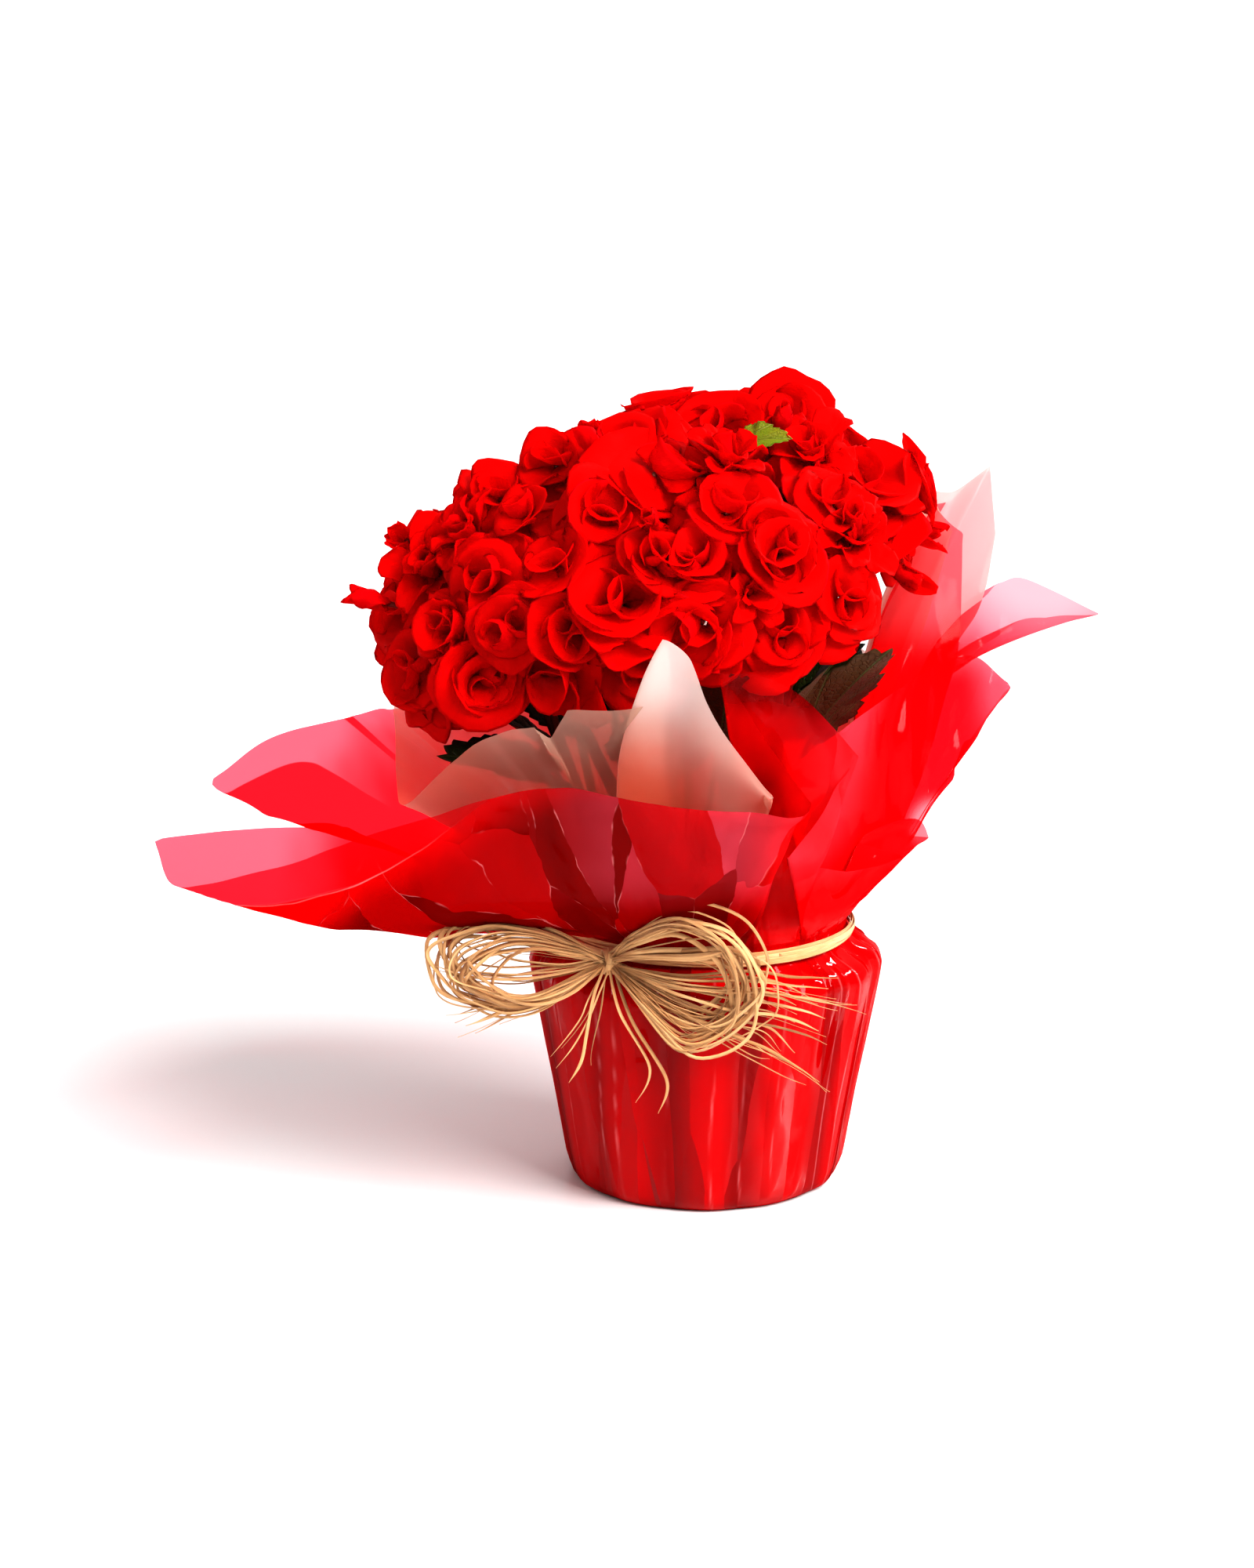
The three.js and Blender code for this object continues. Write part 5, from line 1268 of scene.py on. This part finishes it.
def strands(rows, back, spread, widths, steps, rng):  # copies of each route, each shifted, scaled and wavy
    made = []
    knot = np.array(bow["knot"])
    along = np.linspace(0, 1, steps)
    for count, least, *points in rows:
        ends = [knot + [-0.5, -1.5, 0]]
        route = np.array([*ends, *points, *(ends if back else [])], float)
        fade = np.sin(np.linspace(0, np.pi if back else np.pi / 2, len(route)))[:, None]
        scale = rng.uniform(least, bow["most"], (count, 1, 1))
        jitter = bow["jitter"] * rng.normal(0, 1, (count, len(route), 3))
        jitter = jitter + rng.normal(0, 1, (count, 1, 3)) * [1, 0.7, 1.3]
        routes = knot + (route - knot) * scale + fade * spread * jitter
        routes[:, 0] += rng.normal(0, bow["atKnot"], (count, 3))
        if back:
            routes[:, -1] += rng.normal(0, bow["atKnot"], (count, 3))
        path = smoothPath(routes, steps)
        wave = np.stack([softNoise(path + 90 * axis, bow["waveSize"], 31 + axis) for axis in range(3)], -1)
        grow = np.sin(np.pi * along * (1 if back else 0.5))[:, None]
        path = outsideJacket(path + wave * bow["wave"] * grow)
        way = unit(np.gradient(path, axis=1))
        first = without(np.array([-0.25, -1, 0.15]) + 0 * way, way)
        roll = rng.uniform(-bow["roll"], bow["roll"], (count, 1))
        roll = roll + rng.normal(0, bow["twist"], (count, 1)) * along
        flat = first * np.cos(roll)[..., None] + np.cross(way, first) * np.sin(roll)[..., None]
        width = 0.5 * rng.uniform(*widths, (count, 1)) * (1 - 0.5 * np.exp(-10 * along))
        width = width * ((1 - 0.5 * np.exp(-10 * (1 - along))) if back else (1 - 0.8 * smooth(0.7, 1, along)))
        made.append(tubes(path, np.full(path.shape[:2], 0.5 * bow["thick"]), 6, rng.uniform(0, 1, count),
                          flat=flat, width=width))
    return made


def makeKnot(rng):  # strands wound round the knot: tilted ellipses across the band
    knot = np.array(bow["knot"])
    turns = []
    for _ in range(knotTurns["count"]):
        a = np.linspace(0, 2 * np.pi, 17)
        wide = knotTurns["wide"] + rng.uniform(-0.4, 0.6)
        high = knotTurns["high"] + rng.uniform(-0.5, 0.6)
        lean = rng.uniform(-knotTurns["lean"], knotTurns["lean"])
        shift = rng.uniform(-knotTurns["shift"], knotTurns["shift"])
        turns.append(knot + np.stack([0.2 * wide * np.cos(a) + lean * np.sin(a) + shift,
                                      -wide * np.cos(a), high * np.sin(a)], -1))
    turns = smoothPath(np.array(turns), knotTurns["steps"])
    tones = rng.uniform(0, 0.7, len(turns))
    return tubes(turns, np.full(turns.shape[:2], knotTurns["halfThick"]), 8, tones, flat=unit(turns - knot),
                 width=np.full(turns.shape[:2], knotTurns["halfWidth"]))


def makeBand(rng):  # strands round the neck, each a wavy ring
    count = band["count"]

    def vary(low, high):
        return rng.uniform(low, high, (count, 1))

    a = np.linspace(0, 2 * np.pi, band["steps"])[None] + vary(0, 2 * np.pi)
    level = band["level"] + vary(-2.2, 2.2) + vary(0.3, 1.2) * np.sin(a + vary(0, 6))
    radius = band["radius"] + vary(-0.5, 0.9) + 0.4 * np.sin(5 * a + vary(0, 6))
    rings = polar(radius, np.degrees(a), level)
    tones = rng.uniform(0, 0.8, count)
    return tubes(rings, np.full(a.shape, band["halfThick"]), 8, tones, flat=polar(1.0, np.degrees(a), 0.0),
                 width=np.broadcast_to(vary(*band["halfWidth"]), a.shape))


def makeRaffia():
    finish = raffiaFinish()
    rng = np.random.default_rng(bow["seed"])
    solids = strands(bowLoops, True, bow["loopSpread"], bow["loopWidth"], bow["loopSteps"], rng)
    solids += strands(bowTails, False, bow["tailSpread"], bow["tailWidth"], bow["tailSteps"], rng)
    solids.append(makeKnot(rng))
    makePiece("raffia_bow_strands", solids, finish, "raffia_bow")
    makePiece("raffia_tie_strands", [makeBand(rng)], finish, "raffia_tie")
    print("raffia")


studio = {"floorSide": 60.0, "floorPaint": ((0.76, 0.76, 0.76), (0.79, 0.79, 0.79)), "backdrop": 1.0,
          "ambient": 0.22, "camera": (-0.035, -1.9363, 0.6823), "tilt": 75.5, "lens": 102.6, "sensor": 36.0}
suns = [  # direction of the light from the plant, angular size in degrees, strength
    [(0.95, -0.75, 1.05), 42, 4.7],
    [(0.1, -0.3, 1.0), 140, 0.9],
    [(-0.8, -0.45, 0.75), 50, 0.25],
    [(0.15, 0.9, 0.7), 50, 0.9],
]
strips = [  # place and aim of a narrow softbox, its width and height in metres, power in watts
    [(0.95, -0.75, 0.75), (0, 0, 0.12), 0.3, 0.9, 14],
    [(-0.55, -1.2, 0.9), (0, 0, 0.15), 0.2, 0.8, 9],
    [(0.9, 0.62, 0.75), (0.06, 0, 0.1), 0.12, 0.5, 9],
]


def aimed(way):  # rotation that turns a lamp's -Z along way
    return math.atan2(math.hypot(way[0], way[1]), -way[2]), 0, math.atan2(-way[0], way[1])


def addHolder(name, data, place, rotation):
    holder = bpy.data.objects.new(name, data)
    holder.location, holder.rotation_euler = place, rotation
    bpy.context.scene.collection.objects.link(holder)
    return holder


def makeStudio():
    finish, wire = newFinish("floor")
    paint = wire.noise(objectPlace(wire), 3.0, 2.0).between(*studio["floorPaint"])
    finishWith(wire, wire.node("BsdfPrincipled", {}, {
        "Base Color": paint, "Roughness": 0.25, "Specular IOR Level": 0.4}))
    half = studio["floorSide"] / 2
    corners = [(-half, -half, 0), (half, -half, 0), (half, half, 0), (-half, half, 0)]
    mesh = bpy.data.meshes.new("floor")
    mesh.from_pydata(corners, [], [(0, 1, 2, 3)])
    mesh.materials.append(finish)
    addHolder("floor", mesh, (0, 0, 0), (0, 0, 0))
    world = bpy.data.worlds.new("studio")  # the camera sees a white backdrop, a dimmer one lights the plant
    world.use_nodes = True
    sky = Wire(world.node_tree)
    sky.tree.nodes.clear()
    seen = sky.node("LightPath", {}, {}, 0)
    strength = studio["ambient"] + seen * (studio["backdrop"] - studio["ambient"])
    light = sky.node("Background", {}, {"Color": (1, 1, 1), "Strength": strength})
    sky.node("OutputWorld", {}, {"Surface": light})
    bpy.context.scene.world = world
    for i, (way, angle, strength) in enumerate(suns):
        lamp = bpy.data.lights.new(f"sun_{i}", "SUN")
        lamp.angle, lamp.energy = math.radians(angle), strength
        addHolder(lamp.name, lamp, way, aimed([-c for c in way])).visible_glossy = False
    for i, (place, aim, width, height, power) in enumerate(strips):
        lamp = bpy.data.lights.new(f"strip_{i}", "AREA")
        lamp.shape, lamp.size, lamp.size_y, lamp.energy = "RECTANGLE", width, height, power
        holder = addHolder(lamp.name, lamp, place, aimed([b - a for a, b in zip(place, aim)]))
        holder.visible_diffuse = holder.visible_transmission = False
    camera = bpy.data.cameras.new("camera")
    camera.lens, camera.sensor_width, camera.sensor_fit = studio["lens"], studio["sensor"], "AUTO"
    camera.clip_start, camera.clip_end = 0.05, 100
    tilt = (math.radians(studio["tilt"]), 0, 0)
    bpy.context.scene.camera = addHolder("camera", camera, studio["camera"], tilt)
    bpy.context.scene.view_settings.view_transform = "Standard"
    bpy.context.scene.view_settings.look = "High Contrast"
    print("studio")


makeStudio()
sites = makeSites()
clusters = makeClusters(sites)
stalk = makeFlowers(sites, clusters)
makeStems(clusters, stalk)
makeYoungLeaf(stalk)
makePot()
makeSoil()
makeFilm("film_outer_sheet", outerFilm, outerFilmFinish(), "film_outer")
makeFilm("film_liner_sheet", innerFilm, linerFinish(), "film_liner")
makeRaffia()
